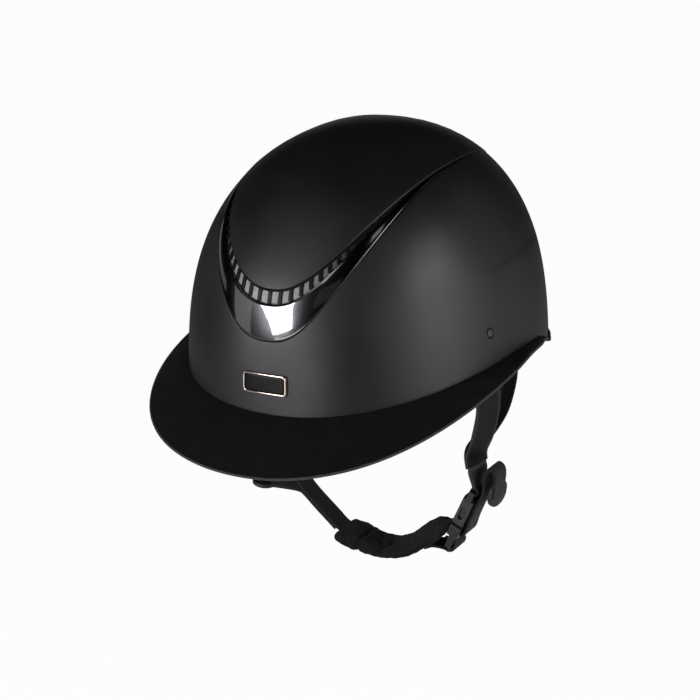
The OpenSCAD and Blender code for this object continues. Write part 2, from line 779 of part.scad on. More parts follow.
// Flat strap: at each point of its path its flat side faces an angle from +X
module strap(path, w0, w1, turns, t, n = 4) {
    p = curve(path, n);
    phis = curve(turns, n);
    last = len(p) - 1;
    secs = [for (i = [0:last]) let (
        h = heading(p, i),
        across = [-sin(phis[i]), cos(phis[i]), 0],
        w = unit(across - h * (across * h)) * mix(w0, w1, i / last) / 2,
        q = unit(cross(h, w)) * t / 2)
        [p[i] - w + q, p[i] + w + q, p[i] + w - q, p[i] - w - q]];
    loft(secs);
}

// A strap that faces straight to the side
module plain_strap(path, w, t, n = 4) {
    strap(path, w, w, [for (p = path) 0], t, n);
}

// Leather legs on the wearer's left, from their anchors to the strap joint
foot_z = joint_z + 20.5;
tongue_t = 1.6;
foot_gap = tongue_t / 2 + gap + leather_t / 2;
// The legs' feet and the tongue between them face a little forward
foot_turn = -20;
function by_foot(h, y, z) = [joint_x + h * cos(foot_turn) - y * sin(foot_turn),
    joint_y + h * sin(foot_turn) + y * cos(foot_turn), z];
// A point at a depth along the rivet's axis, the way up across it and the angle it faces
function on_axis(u, z, d) = at_z(u, z, 0) - normal_at(u, z, 0) * d;
function rise_at(u, z) = let (n = normal_at(u, z, 0)) unit(cross(n, [-n[1], n[0], 0]));
function facing(u, z) = let (n = normal_at(u, z, 0)) atan2(n[1], n[0]);
module axis_bore(u, z) {
    on_wall(u, z)
        translate([0, 0, -stack_d - 2])
            cylinder(r = 1.7, h = 8, $fn = 32);
}

module front_leg() {
    top = on_axis(rivet_u, rivet_z, leg_d);
    rise = rise_at(rivet_u, rivet_z);
    a = facing(rivet_u, rivet_z);
    color("#2b2b2e")
        difference() {
            strap([top + rise * 9, top, top - rise * 8, at_z(81, -8, leg_d + 0.6), [81.4, 0, -20],
                [82.8, 9, -38], [82, 13, -55.5], [77.4, 12, -77],
                by_foot(foot_gap + 0.9, -3.4, foot_z + 8), by_foot(foot_gap + 0.05, -2.5, foot_z)],
                leg_w, leg_foot_w, [a, a, a, -9, -14, -20, -21, -21, foot_turn, foot_turn], leather_t);
            axis_bore(rivet_u, rivet_z);
        }
}

module rear_leg() {
    top = on_axis(anchor_u, anchor_z, leg_d);
    rise = rise_at(anchor_u, anchor_z);
    a = facing(anchor_u, anchor_z);
    color("#232326")
        difference() {
            strap([top + rise * 9, top, top - rise * 8, at_z(116, -13, leg_d + 0.8), at_z(117, -28, leg_d + 0.4),
                [79.8, 50.5, -41], [78.6, 42, -61.8], [74.3, 28, -76],
                by_foot(-foot_gap - 0.7, 2, foot_z + 9), by_foot(-foot_gap - 0.05, 0.5, foot_z)],
                leg_w - 3.5, leg_foot_w, [a, a, a, 12, 8, -2, -8, -14, foot_turn, foot_turn], leather_t);
            axis_bore(anchor_u, anchor_z);
        }
}

module near_front_leg() {
    front_leg();
}

module near_rear_leg() {
    rear_leg();
}

module far_front_leg() {
    mirror([1, 0, 0])
        front_leg();
}

module far_rear_leg() {
    mirror([1, 0, 0])
        rear_leg();
}

// Leather tongue that folds round the bar at the strap joint and runs up between the legs
neck_w = 13;
neck_hole = bar_r + gap;
module neck() {
    r = neck_hole + 1.5;
    // Doubled leather above the fold, single where it lies between the feet
    doubled = foot_z - joint_z - 3;
    secs = [for (z = [0:2:foot_z - joint_z + 6]) let (
        a = foot_turn * smooth((z - neck_hole) / 12),
        w = mix(neck_w - 1, neck_w + 3, smooth(z / 16)) / 2,
        t = z > doubled ? tongue_t : 3.4,
        x = [cos(a), sin(a), 0] * t / 2,
        y = [-sin(a), cos(a), 0] * w,
        c = [0, 0, z])
        [c - x - y, c - x + y, c + x + y, c + x - y]];
    difference() {
        union() {
            rotate([90, 0, 0])
                cylinder(r = r, h = neck_w, center = true);
            loft(secs);
        }
        rotate([90, 0, 0])
            cylinder(r = neck_hole, h = neck_w + 2, center = true);
    }
}

module near_neck() {
    color("#2b2b2e")
        translate([joint_x, joint_y, joint_z])
            neck();
}

module far_neck() {
    color("#2b2b2e")
        mirror([1, 0, 0])
            translate([joint_x, joint_y, joint_z])
                neck();
}

// Buckle, in its own frame: the bar is the origin and the strap runs along -Z
buckle_lean = 25;
module at_buckle() {
    translate([joint_x, joint_y, joint_z])
        rotate([0, buckle_lean, 0])
            children();
}

socket_end = -27;
plug_end = -49;
bar_end_t = 4.6;
cavity_w = buckle_w - 3.2;
cavity_t = buckle_t - 2.8;
prong_gap = 0.3;

// A buckle half: rounded corners seen from its face
module buckle_body(t, w_top, w_end, z_top, z_end, r) {
    rotate([90, 0, 90])
        linear_extrude(t, center = true)
            hull()
                for (k = [-1, 1]) {
                    translate([k * (w_top / 2 - r), z_top - r])
                        circle(r = r, $fn = 24);
                    translate([k * (w_end / 2 - r / 2), z_end + r / 2])
                        circle(r = r / 2, $fn = 24);
                }
}

module buckle_socket() {
    color("#1f2023")
        at_buckle()
            union() {
                difference() {
                    union() {
                        buckle_body(buckle_t, buckle_w - 3, buckle_w, -4, socket_end, 3);
                        for (k = [-1, 1])
                            translate([0, k * (buckle_w / 2 - 3), -3])
                                cube([4.4, 3, 9], center = true);
                    }
                    // Cavity for the prongs, open at the bottom
                    translate([-cavity_t / 2, -cavity_w / 2, socket_end - 1])
                        cube([cavity_t, cavity_w, -socket_end + 1 - 7.4]);
                    // Side windows
                    for (z = [-19.6, -13.4])
                        translate([0, 0, z])
                            rotate([90, 0, 0])
                                cylinder(r = 2.1, h = buckle_w + 4, center = true);
                    translate([-2.1, -buckle_w / 2 - 2, -19.6])
                        cube([4.2, buckle_w + 4, 6.2]);
                    // Face recess
                    for (k = [-1, 1])
                        translate([k * (buckle_t / 2 + 1.3), 0, -15])
                            cube([4, 9, 12], center = true);
                }
                rotate([90, 0, 0])
                    cylinder(r = bar_r, h = buckle_w - 6, center = true);
            }
}

module buckle_plug() {
    prong_out = cavity_w / 2 - prong_gap;
    prong_t = cavity_t - 2 * prong_gap;
    slot_w = web_w + 0.8;
    color("#1f2023")
        at_buckle()
            difference() {
                union() {
                    buckle_body(buckle_t, buckle_w, buckle_w - 1, socket_end - gap, -38, 2.4);
                    buckle_body(bar_end_t, buckle_w - 2, buckle_w - 4, -34, plug_end, 2.4);
                    for (k = [-1, 1]) {
                        translate([-prong_t / 2, k > 0 ? prong_out - 3.4 : -prong_out, socket_end - 2])
                            cube([prong_t, 3.4, 17]);
                        translate([0, k * (prong_out - 1.7), socket_end + 15])
                            rotate([0, 90, 0])
                                cylinder(r = 1.7, h = prong_t, center = true);
                    }
                    translate([-prong_t / 2, -1.8, socket_end - 2])
                        cube([prong_t, 3.6, 14]);
                }
                translate([0, 0, -35])
                    cube([buckle_t + 2, slot_w, 3], center = true);
                translate([0, 0, -43])
                    cube([buckle_t + 2, slot_w, 3.2], center = true);
                // Grip flutes on the outer face
                for (z = [-30.6, -37.6])
                    translate([buckle_t / 2 + 0.6, 0, z])
                        rotate([90, 0, 0])
                            cylinder(r = 1, h = buckle_w + 2, center = true, $fn = 24);
            }
}

// A point of the buckle's own frame, with h across its face
function in_buckle(h, v) = [joint_x + h * cos(buckle_lean) + v * sin(buckle_lean), joint_y,
    joint_z - h * sin(buckle_lean) + v * cos(buckle_lean)];
function by_joint(h, v) = [joint_x + h, joint_y, joint_z + v];

// The loose end leaves the plug, runs up the outer face and folds over above the buckle
tab_top = by_joint(16.3, 10.2);
module near_tail() {
    color("#242427")
        plain_strap([in_buckle(0, -35), in_buckle(4.3, -34.9), in_buckle(6.4, -31), in_buckle(5.8, -22),
            in_buckle(5.7, -9), by_joint(6.4, -1), by_joint(6.9, 8), by_joint(8.3, 15.6), by_joint(12.4, 19.4),
            by_joint(16.2, 17.2), tab_top + [0.7, 0, 3], tab_top + [0.2, 0, 0.5]],
            web_w, web_t, 3);
}

module end_tab(w, l, t) {
    rotate([0, 90, 0])
        linear_extrude(t, center = true)
            union() {
                translate([w / 2, 0])
                    square([l - w, w], center = false);
                translate([w / 2, w / 2])
                    circle(r = w / 2);
                translate([l - w / 2, w / 2])
                    circle(r = w / 2);
            }
}

module near_end_tab() {
    color("#303034")
        translate(tab_top)
            rotate([0, 10, 0])
                rotate([0, 0, -10])
                    translate([0, -web_w / 2 - 1.5, 0])
                        end_tab(web_w + 3, web_w + 4.6, 3);
}

// The strap wraps the plug's lower bar and runs on to the underside of the chin pad
module near_webbing() {
    color("#242427")
        plain_strap([in_buckle(-1.6, -42.8), in_buckle(1.6, -42.9), in_buckle(3.8, -44.8), in_buckle(4.1, -48),
            in_buckle(2.2, -51), in_buckle(-2, -52), [43.2, 16, -165.6], [37.5, 15, -167.5], [31, 15, -171.5]],
            web_w, web_t, 3);
}

// Fleece sleeve on the chin strap, hanging in a shallow arc
pad_path = [[-37.4, 15, -165.8], [-15, 15, -172.4], [2, 15, -174.8], [20, 15, -171], [35, 15, -161.6],
    [43.5, 15, -155], [50.9, 15, -145]];
pad_turn = 16;
module chin_pad() {
    p = curve(pad_path, 4);
    last = len(p) - 1;
    secs = [for (i = [0:last]) let (
        h = heading(p, i),
        q = unit(cross(h, [0, 1, 0])),
        f = i / last,
        // The near end tapers to a tongue along the buckle's inner face, its rear edge turned up on the way
        end = 0.72 + 0.28 * smooth(f * 12),
        w = chin_pad_w / 2 * (end - 0.5 * smooth((f - 0.74) / 0.26)),
        t = chin_pad_t / 2 * (end - 0.28 * smooth((f - 0.6) / 0.2) - 0.3 * smooth((f - 0.83) / 0.17)),
        turn = pad_turn * (smooth((f - 0.25) / 0.4) - smooth((f - 0.78) / 0.22)),
        c = p[i] + q * w * sin(turn),
        wide = w * ([0, cos(turn), 0] + q * sin(turn)),
        thick = t * (q * cos(turn) - [0, sin(turn), 0]))
        [for (a = [[-1, 0.35], [-0.8, 0.85], [0, 1], [0.8, 0.85], [1, 0.35],
                   [1, -0.35], [0.8, -0.85], [0, -1], [-0.8, -0.85], [-1, -0.35]])
            c + wide * a[0] + thick * a[1]]];
    color("#2e2e31")
        loft(secs);
}

// Slider on the far side: the neck holds its upper bar and the webbing its lower bar
slider_drop = 9;
module far_slider() {
    reach = buckle_w / 2;
    color("#1f2023")
        translate([-joint_x, joint_y, joint_z])
            union() {
                for (k = [-1, 1])
                    translate([0, k * (reach - 1.5), -slider_drop / 2])
                        cube([3.6, 3, slider_drop + 4], center = true);
                for (z = [0, -slider_drop])
                    translate([0, 0, z])
                        rotate([90, 0, 0])
                            cylinder(r = bar_r, h = buckle_w - 4, center = true);
            }
}

far_run = [[-38.8, 15, -163.2], [-46, 15.5, -157.4], [-55, 16, -150], [-64, 16.6, -142.2]];
module far_webbing() {
    c = [-joint_x, joint_y, joint_z - slider_drop];
    r = bar_r + gap + web_t / 2;
    turn = [for (a = [200, 150, 90, 30, -10]) c + [r * cos(a), 0, r * sin(a)]];
    color("#242427")
        plain_strap([each far_run, [-70.8, 17.4, -135], each turn, c + [3.4, 0, -6]], web_w, web_t, 3);
}

// The loose end lies under the webbing and then swings out
module far_tail() {
    under = (web_t + gap) * [-0.65, 0, -0.76];
    color("#242427")
        plain_strap([for (p = far_run) p + under, [-70, 16.6, -141.2], [-81, 16, -140.8], [-94, 15, -141]],
            web_w, web_t);
}

module far_end_tab() {
    color("#303034")
        translate([-94.3, 15 - web_w / 2 - 0.5, -141])
            rotate([0, 82, 0])
                end_tab(web_w + 1, web_w + 1.6, 3);
}

outer_shell();
crown_panel();
front_trim();
vent_mesh();
vent_ribs();
badge_frame();
badge_plate();
brim();
brim_binding();
rear_edge_trim();
impact_liner();
forehead_pad();
crown_pad();
nape_cradle();
nape_pad();
dial_housing();
housing_screws();
fit_dial();
rack_left();
rack_right();
side_rivets();
rivet_washers();
anchor_studs();
near_front_leg();
near_rear_leg();
far_front_leg();
far_rear_leg();
near_neck();
far_neck();
buckle_socket();
buckle_plug();
near_webbing();
near_tail();
near_end_tab();
chin_pad();
far_slider();
far_webbing();
far_tail();
far_end_tab();
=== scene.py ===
"""Riding helmet: the finished surfaces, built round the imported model."""

import math

import bpy
import numpy as np
from bpy.props import FloatProperty, FloatVectorProperty, IntProperty, PointerProperty
from mathutils import Matrix, Vector


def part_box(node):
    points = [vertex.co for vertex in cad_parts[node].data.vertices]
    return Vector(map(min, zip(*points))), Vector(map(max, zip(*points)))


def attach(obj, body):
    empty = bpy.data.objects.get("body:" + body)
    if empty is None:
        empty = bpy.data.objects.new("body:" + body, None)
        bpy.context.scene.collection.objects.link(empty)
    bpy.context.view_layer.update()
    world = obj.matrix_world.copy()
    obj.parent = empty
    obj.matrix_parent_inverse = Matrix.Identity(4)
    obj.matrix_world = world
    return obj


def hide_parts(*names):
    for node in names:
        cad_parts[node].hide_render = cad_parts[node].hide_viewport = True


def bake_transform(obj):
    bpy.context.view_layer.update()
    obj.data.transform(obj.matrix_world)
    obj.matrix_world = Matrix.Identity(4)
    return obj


bl_info = {
    "name": "Riding helmet",
    "version": (1, 0, 0),
    "blender": (4, 5, 0),
    "location": "View3D > Sidebar > Helmet",
    "description": "Builds a riding helmet with a vent, a dial fit and a buckled harness",
    "category": "Add Mesh",
}

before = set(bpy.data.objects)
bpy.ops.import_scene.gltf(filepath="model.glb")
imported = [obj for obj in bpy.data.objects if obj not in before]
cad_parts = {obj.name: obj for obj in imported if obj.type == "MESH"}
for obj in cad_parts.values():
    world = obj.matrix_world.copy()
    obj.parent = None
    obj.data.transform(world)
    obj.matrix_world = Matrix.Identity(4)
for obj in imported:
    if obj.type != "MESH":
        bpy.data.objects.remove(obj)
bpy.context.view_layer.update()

# Shapes are in millimetres and degrees. A place on the shell has u, the angle round from the front through
# the near side, then s, the share of the way out from the crown, or z, its height, and d, its depth below
# the skin.
MM = 0.001
UPWARDS = np.array([0, 0, 1.0])

# Plan and dome of the shell
HALF_WIDTH = 109.0
FRONT_LENGTH = 131.5
REAR_LENGTH = 140.5
PLAN_POWER = 2.31
WALL_Z = -38.0
CROWN_Z = 135.7
DOME_HEIGHT = CROWN_Z - WALL_Z
CROWN_LEAN = 2.7
# With the shares out and up, out ** OUT_POWER + up ** UP_POWER is 1 all over the dome
OUT_POWER = 2.08
UP_POWER = 2.84

# Wall, depth of the crown panel's seat, gap between fitted pieces, and how far the panel stands out
SHELL_T = 4.0
SEAT = 2.4
GAP = 0.3
PROUD = 0.4

# Heights of the rim, and its drop at the nape
RIM_FRONT = -20.3
RIM_SIDE = -7.8
RIM_REAR = -30.0
NAPE_DROP = 12.0

# Lines over the dome, seen from above: half width, front, widest place and rear along Y, and power
PANEL_LINE = (63.0, -117.4, -5.0, 122.0, 2.3)
VENT_LINE = (63.4, -120.5, -12.0, 118.0, 2.35)
TRIM_LINE = (64.6, -126.4, -20.0, 97.0, 2.5)
# The crescent's ends and the small step near them, and the vent's ends, in degrees. The lip is a width.
TRIM_TIP = 105.0
TRIM_STEP = 73.5
VENT_END = 80.0
TRIM_LIP = 1.3

# The faint crease on each rear side: its ends as (round, up), and how far it stands out
CREASE_FRONT = (74.5, 51.0)
CREASE_REAR = (126.5, 48.5)
CREASE_HEIGHT = 0.45

# Radius of the painted shade ring round a side rivet; no recess is modelled
RIVET_SHADE_R = 4.1

# Brim: its outline from above, the height, slope and arch of its edge, its thickness in front and at the
# tails, the tails' end in degrees, how far both front quarters are raised, and the piping
BRIM_HALF = 121.8
BRIM_FRONT = 167.4
BRIM_REAR = 150.0
BRIM_POWER = 2.52
BRIM_Z = -18.6
BRIM_PITCH = 0.165
BRIM_ARCH = 8.5
BRIM_T = 2.0
BRIM_TAIL_T = 1.4
BRIM_TAIL = 121.0
BRIM_RAISE = 1.5
PIPING_R = 0.8

# Badge: outer size, corner, bar, height on the shell, and radius of its bend
BADGE_W = 32.0
BADGE_H = 13.6
BADGE_CORNER = 2.2
BADGE_BAR = 1.5
BADGE_Z = 0.5
BADGE_BEND = 186.0

# Depths of the liner's two faces, and how far it shows below the rim at the rear
LINER_OUT = 4.3
LINER_IN = 27.3
LINER_SHOW = 4.0

# Fit band: the racks' middle line, their thickness and clearance, the cradle's wall, the room between it and
# the nape cushion, and the dial's height
RACK_R = 84.9
RACK_Y = 18.0
RACK_T = 1.6
RACK_GAP = 0.5
CRADLE_T = 2.2
NAPE_ROOM = 1.25
DIAL_Z = -66.0
# Radius of the nape cushion's outer face
NAPE_OUT = RACK_R - RACK_T / 2 - RACK_GAP - CRADLE_T - NAPE_ROOM

# Harness: the near joint's bar with its radius, and the lean of the buckle below it
JOINT = np.array([70.0, 18.0, -118.5])
BAR_R = 1.6
BUCKLE_LEAN = math.radians(25)
# Thicknesses and widths of the end tabs, the webbing, the near tail, the legs and the tongue between the feet
TAB_T = 3.0
WEBBING_W = 16.0
WEBBING_T = 1.7
LOOP_T = 2.3
LEG_T = 1.8
FRONT_LEG_W = (23.5, 20.0)
REAR_LEG_W = (20.0, 20.0)
TONGUE_T = 1.6
# Depth of the legs' middle inside the helmet, past the liner's flats and the room in front of them
FLAT_RISE = 0.6
LEG_ROOM = 1.25
LEG_DEPTH = LINER_IN + FLAT_RISE + LEG_ROOM + LEG_T / 2
# The legs' feet: distance from the neck's middle, height, and turn
FOOT_OUT = TONGUE_T / 2 + GAP + LEG_T / 2
FOOT_Z = JOINT[2] + 20.5
FOOT_TURN = -20.0
# Steps between two points of a leg, and the stitches along it
LEG_STEPS = 10
STITCH_PITCH = 3.0
STITCH_INSET = 2.1
STITCH_SIZE = (STITCH_PITCH * 0.62, 0.45, 0.35)

# Chin pad
PAD_PATH = [[-37.4, 15, -165.8], [-15, 15, -172.4], [2, 15, -174.8], [20, 15, -171], [35, 15, -161.6],
            [43.5, 15, -155], [50.9, 15, -145]]
PAD_TURN = 16.0
PAD_W = 38.0
PAD_T = 7.0


# The shell's form

def mix(a, b, f):
    """The value a share f of the way from a to b."""
    return a + (b - a) * f


def smooth(x):
    """A soft step from 0 to 1."""
    c = np.clip(x, 0, 1)
    return c * c * (3 - 2 * c)


def side(u):
    """Degrees round from the front, to either side."""
    return np.abs((u + 540) % 360 - 180)


def squareness(u, power):
    """Reach of a rounded square of half width 1."""
    r = np.radians(u)
    return (np.abs(np.sin(r)) ** power + np.abs(np.cos(r)) ** power) ** (-1 / power)


def dome(u, out, up, d, z=None):
    """A point by its shares out and up the dome; z, where given, is its height instead."""
    u, out, up, d = np.broadcast_arrays(*[np.asarray(v, float) for v in (u, out, up, d)])
    r = np.radians(u)
    q = squareness(u, PLAN_POWER)
    length = np.where(np.cos(r) > 0, FRONT_LENGTH, REAR_LENGTH)
    height = WALL_Z + (DOME_HEIGHT - d) * up if z is None else np.broadcast_to(z, u.shape)
    x = (HALF_WIDTH - d) * out * q * np.sin(r)
    y = -(length - d) * out * q * np.cos(r) + CROWN_LEAN * up
    return np.stack([x, y, height], -1)


def at_s(u, s, d):
    """The point a share s of the way out, at a depth d."""
    s = np.clip(np.asarray(s, float), 0, 1)
    return dome(u, s, (1 - s ** OUT_POWER) ** (1 / UP_POWER), d)


def at_z(u, z, d):
    """The point at a height z and a depth d."""
    up = np.clip((np.asarray(z, float) - WALL_Z) / (DOME_HEIGHT - np.asarray(d, float)), 0, 1)
    return dome(u, (1 - up ** UP_POWER) ** (1 / OUT_POWER), up, d, z)


def along(u, s, length):
    """The s that lies a length further down the skin."""
    step = 0.001
    span = np.linalg.norm(at_s(u, s + step, 0) - at_s(u, s - step, 0), axis=-1)
    return s + length * 2 * step / span


def normal_at(u, z, d):
    """The outward direction of the skin at a height."""
    a = at_z(u + 0.5, z, d) - at_z(u - 0.5, z, d)
    b = at_z(u, z + 0.5, d) - at_z(u, z - 0.5, d)
    n = np.cross(a, b)
    return n / np.linalg.norm(n, axis=-1, keepdims=True)


def rim_z(u):
    """Height of the shell's lower edge."""
    mean = (RIM_FRONT + RIM_REAR) / 2
    r = np.radians(u)
    tilt = (RIM_FRONT - RIM_REAR) / 2 * np.cos(r)
    rise = (mean - RIM_SIDE) / 2 * np.cos(2 * r)
    return (mean + RIM_SIDE) / 2 + tilt + rise - NAPE_DROP * smooth((side(u) - 105) / 24)


def liner_rim(u):
    """Height of the liner's lower edge."""
    return rim_z(u) + 0.4 - (LINER_SHOW + 0.4) * smooth((side(u) - 110) / 14)


def line_s(u, line):
    """Where a line over the dome crosses each u, found by halving."""
    half, front, middle, rear, power = line
    u = np.asarray(u, float)
    low = np.zeros(u.shape)
    high = np.ones(u.shape)
    for _ in range(30):
        s = (low + high) / 2
        p = at_s(u, s, 0)
        reach = np.where(p[..., 1] < middle, middle - front, rear - middle)
        across = (np.abs(p[..., 0]) / half) ** power
        inside = across + (np.abs(p[..., 1] - middle) / reach) ** power < 1
        low = np.where(inside, s, low)
        high = np.where(inside, high, s)
    return (low + high) / 2


def panel_s(u):
    return line_s(u, PANEL_LINE)


def vent_s(u):
    return np.maximum(line_s(u, VENT_LINE), panel_s(u))


def trim_s(u):
    return np.maximum(line_s(u, TRIM_LINE), vent_s(u))


def seat_edge(u):
    """The outer edge of the sunk seat, round the trim and the panel."""
    u = np.asarray(u, float)
    trimmed = np.maximum(trim_s(u), along(u, vent_s(u), 0.5))
    return along(u, np.where(side(u) < TRIM_TIP + 0.5, trimmed, panel_s(u)), GAP)


# Meshes

def add_piece(name, mesh):
    """A smooth-shaded object for a mesh."""
    mesh.polygons.foreach_set("use_smooth", [True] * len(mesh.polygons))
    piece = bpy.data.objects.new(name, mesh)
    bpy.context.collection.objects.link(piece)
    return piece


def vertex_values(mesh, key):
    values = np.empty(len(mesh.vertices) * 3)
    mesh.vertices.foreach_get(key, values)
    return values.reshape(-1, 3)


def volume(mesh):
    """Below zero where the faces point inwards."""
    mesh.calc_loop_triangles()
    points = vertex_values(mesh, "co")
    corners = np.empty(len(mesh.loop_triangles) * 3, int)
    mesh.loop_triangles.foreach_get("vertices", corners)
    a, b, c = (points[corners[k::3]] for k in range(3))
    return float(np.einsum("ij,ij->i", a, np.cross(b, c)).sum() / 6)


def lay_map(mesh, uv):
    """Writes a map in metres from one (length, across) pair for each vertex."""
    flat = np.asarray(uv, float).reshape(-1, 2) * MM
    index = np.empty(len(mesh.loops), int)
    mesh.loops.foreach_get("vertex_index", index)
    mesh.uv_layers.new(name="Lay").data.foreach_set("uv", flat[index].ravel())


def solid(name, rows, ends="caps", uv=None):
    """A closed skin over rows of points. The rows end in flat caps or in poles, or meet as a ring."""
    rows = np.asarray(rows, float)
    count, across = rows.shape[:2]
    points = rows.reshape(-1, 3)
    faces = []
    for i in range(count if ends == "ring" else count - 1):
        for j in range(across):
            h = (i + 1) % count * across
            k = (j + 1) % across
            faces.append((i * across + j, i * across + k, h + k, h + j))
    last = (count - 1) * across
    if ends == "poles":
        for j in range(across):
            k = (j + 1) % across
            faces.append((len(points), k, j))
            faces.append((len(points) + 1, last + j, last + k))
        points = np.vstack([points, rows[0].mean(0), rows[-1].mean(0)])
    if ends == "caps":
        faces.append(tuple(range(across - 1, -1, -1)))
        faces.append(tuple(range(last, last + across)))
    mesh = bpy.data.meshes.new(name)
    mesh.from_pydata((points * MM).tolist(), [], faces)
    mesh.update()
    if volume(mesh) < 0:
        mesh.flip_normals()
    if uv is not None:
        lay_map(mesh, uv)
    return add_piece(name, mesh)


def crosswise(lines):
    """Lines that run along a piece, turned into the rows across it that solid takes."""
    return np.transpose(np.array(lines), (1, 0, 2))


def spline(points, n):
    """A smooth curve through points, with n steps between each two."""
    p = np.asarray(points, float)
    out = []
    for i in range(len(p) - 1):
        a, b, c, d = p[max(i - 1, 0)], p[i], p[i + 1], p[min(i + 2, len(p) - 1)]
        for k in range(n):
            f = k / n
            point = 2 * b + (c - a) * f
            point += (2 * a - 5 * b + 4 * c - d) * f * f
            point += (3 * b - a - 3 * c + d) * f ** 3
            out.append(0.5 * point)
    out.append(p[-1])
    return np.array(out)


def headings(path):
    """The direction of a path at each of its points."""
    h = np.empty_like(path)
    h[1:-1] = path[2:] - path[:-2]
    h[0] = path[1] - path[0]
    h[-1] = path[-1] - path[-2]
    return h / np.linalg.norm(h, axis=1, keepdims=True)


def lengths(path):
    """The length along a path to each of its points."""
    return np.concatenate([[0], np.cumsum(np.linalg.norm(np.diff(path, axis=0), axis=1))])


def strap_frame(points, turns, n):
    """The path of a flat strap, its width and thickness directions, and the length along it."""
    path = spline(points, n)
    a = np.radians(spline(np.broadcast_to(turns, len(points))[:, None], n)[:, 0])
    h = headings(path)
    across = np.stack([-np.sin(a), np.cos(a), np.zeros_like(a)], -1)
    w = across - h * np.einsum("ij,ij->i", across, h)[:, None]
    w /= np.linalg.norm(w, axis=1, keepdims=True)
    return path, w, np.cross(h, w), lengths(path)


def strap_outline(half, thick, edge):
    """A flat section with round edges, as (across, through) pairs."""
    e = min(edge, half * 0.9)
    flat = np.linspace(-1, 1, 7) * (half - e)
    arc = np.radians([60, 30, 0, -30, -60])
    near = [(half - e + e * math.cos(a), thick / 2 * math.sin(a)) for a in arc]
    far = [(-x, -t) for x, t in near]
    return [(x, thick / 2) for x in flat] + near + [(x, -thick / 2) for x in flat[::-1]] + far


def strap(name, points, width, thick, turns=0, n=8, edge=0.5, from_edge=False):
    """A flat band along points. Its map has the length, and the place across or the distance from an edge."""
    path, w, q, run = strap_frame(points, turns, n)
    ends = np.atleast_1d(width)
    widths = np.interp(np.linspace(0, 1, len(path)), np.linspace(0, 1, len(ends)), ends)
    rows = []
    uv = []
    for i, p in enumerate(path):
        half = widths[i] / 2
        outline = strap_outline(half, thick, edge)
        rows.append([p + w[i] * x + q[i] * t for x, t in outline])
        uv.append([(run[i], half - abs(x) if from_edge else x) for x, t in outline])
    return solid(name, rows, uv=uv)


def bead(name, path, radius):
    """A closed round cord along a path."""
    path = np.asarray(path, float)
    h = headings(path)
    a = np.cross(h, [0.0, 0.0, 1.0])
    a /= np.linalg.norm(a, axis=1, keepdims=True)
    b = np.cross(a, h)
    run = lengths(path)
    ring = np.radians(np.arange(0, 360, 36))
    rows = []
    uv = []
    for i, p in enumerate(path):
        rows.append([p + radius * (a[i] * math.cos(r) + b[i] * math.sin(r)) for r in ring])
        uv.append([(run[i], radius * r) for r in ring])
    return solid(name, rows, uv=uv)


def join(name, parts):
    """Several meshes as one piece."""
    points = []
    faces = []
    uvs = []
    for part in parts:
        mesh = part.data
        start = len(points)
        points += [v.co[:] for v in mesh.vertices]
        faces += [[start + i for i in f.vertices] for f in mesh.polygons]
        if mesh.uv_layers:
            uvs += [d.uv[:] for d in mesh.uv_layers[0].data]
        else:
            uvs += [(0.0, 0.0)] * len(mesh.loops)
        bpy.data.objects.remove(part)
    mesh = bpy.data.meshes.new(name)
    mesh.from_pydata(points, [], faces)
    mesh.uv_layers.new(name="Lay").data.foreach_set("uv", np.array(uvs).ravel())
    return add_piece(name, mesh)


def corner_ring(x, y, r, steps):
    """Quarter turns of radius r round (x, y), (-x, y), (-x, -y) and (x, -y)."""
    ring = []
    for start, cx, cy in ((0, x, y), (90, -x, y), (180, -x, -y), (270, x, -y)):
        for k in range(steps + 1):
            a = math.radians(start + 90 * k / steps)
            ring.append((cx + r * math.cos(a), cy + r * math.sin(a)))
    return ring


def unit_block(name, e):
    """A block of size 1 with edges rounded by e, for spread to scale."""
    rows = []
    for z, inset in ((0, e), (0.3 * e, 0.3 * e), (e, 0), (1 - e, 0), (1 - 0.3 * e, 0.3 * e), (1, e)):
        ring = corner_ring(0.5 - e, 0.5 - e, max(e - inset, 0.05 * e), 2)
        rows.append([(x, y, z - 0.5) for x, y in ring])
    return solid(name, rows)


def spread_tree():
    """Geometry nodes that set a piece on every point, turned and sized by the points' own attributes."""
    tree = bpy.data.node_groups.get("spread_on_points")
    if tree:
        return tree
    tree = bpy.data.node_groups.new("spread_on_points", "GeometryNodeTree")
    inputs = {"Points": "Geometry", "Piece": "Object", "Finish": "Material", "Size": "Float"}
    for label, kind in inputs.items():
        tree.interface.new_socket(label, in_out="INPUT", socket_type="NodeSocket" + kind)
    tree.interface.new_socket("Result", in_out="OUTPUT", socket_type="NodeSocketGeometry")
    add = tree.nodes.new
    start = add("NodeGroupInput")
    end = add("NodeGroupOutput")
    look = add("GeometryNodeObjectInfo")
    turn = add("GeometryNodeInputNamedAttribute")
    scale = add("GeometryNodeInputNamedAttribute")
    for node, name in ((turn, "turn"), (scale, "size")):
        node.data_type = "FLOAT_VECTOR"
        node.inputs["Name"].default_value = name
    grow = add("ShaderNodeVectorMath")
    grow.operation = "SCALE"
    place = add("GeometryNodeInstanceOnPoints")
    real = add("GeometryNodeRealizeInstances")
    paint = add("GeometryNodeSetMaterial")
    link = tree.links.new
    link(start.outputs["Piece"], look.inputs["Object"])
    link(start.outputs["Points"], place.inputs["Points"])
    link(look.outputs["Geometry"], place.inputs["Instance"])
    link(turn.outputs[0], place.inputs["Rotation"])
    link(scale.outputs[0], grow.inputs[0])
    link(start.outputs["Size"], grow.inputs["Scale"])
    link(grow.outputs[0], place.inputs["Scale"])
    link(place.outputs[0], real.inputs[0])
    link(real.outputs[0], paint.inputs["Geometry"])
    link(start.outputs["Finish"], paint.inputs["Material"])
    link(paint.outputs[0], end.inputs[0])
    return tree


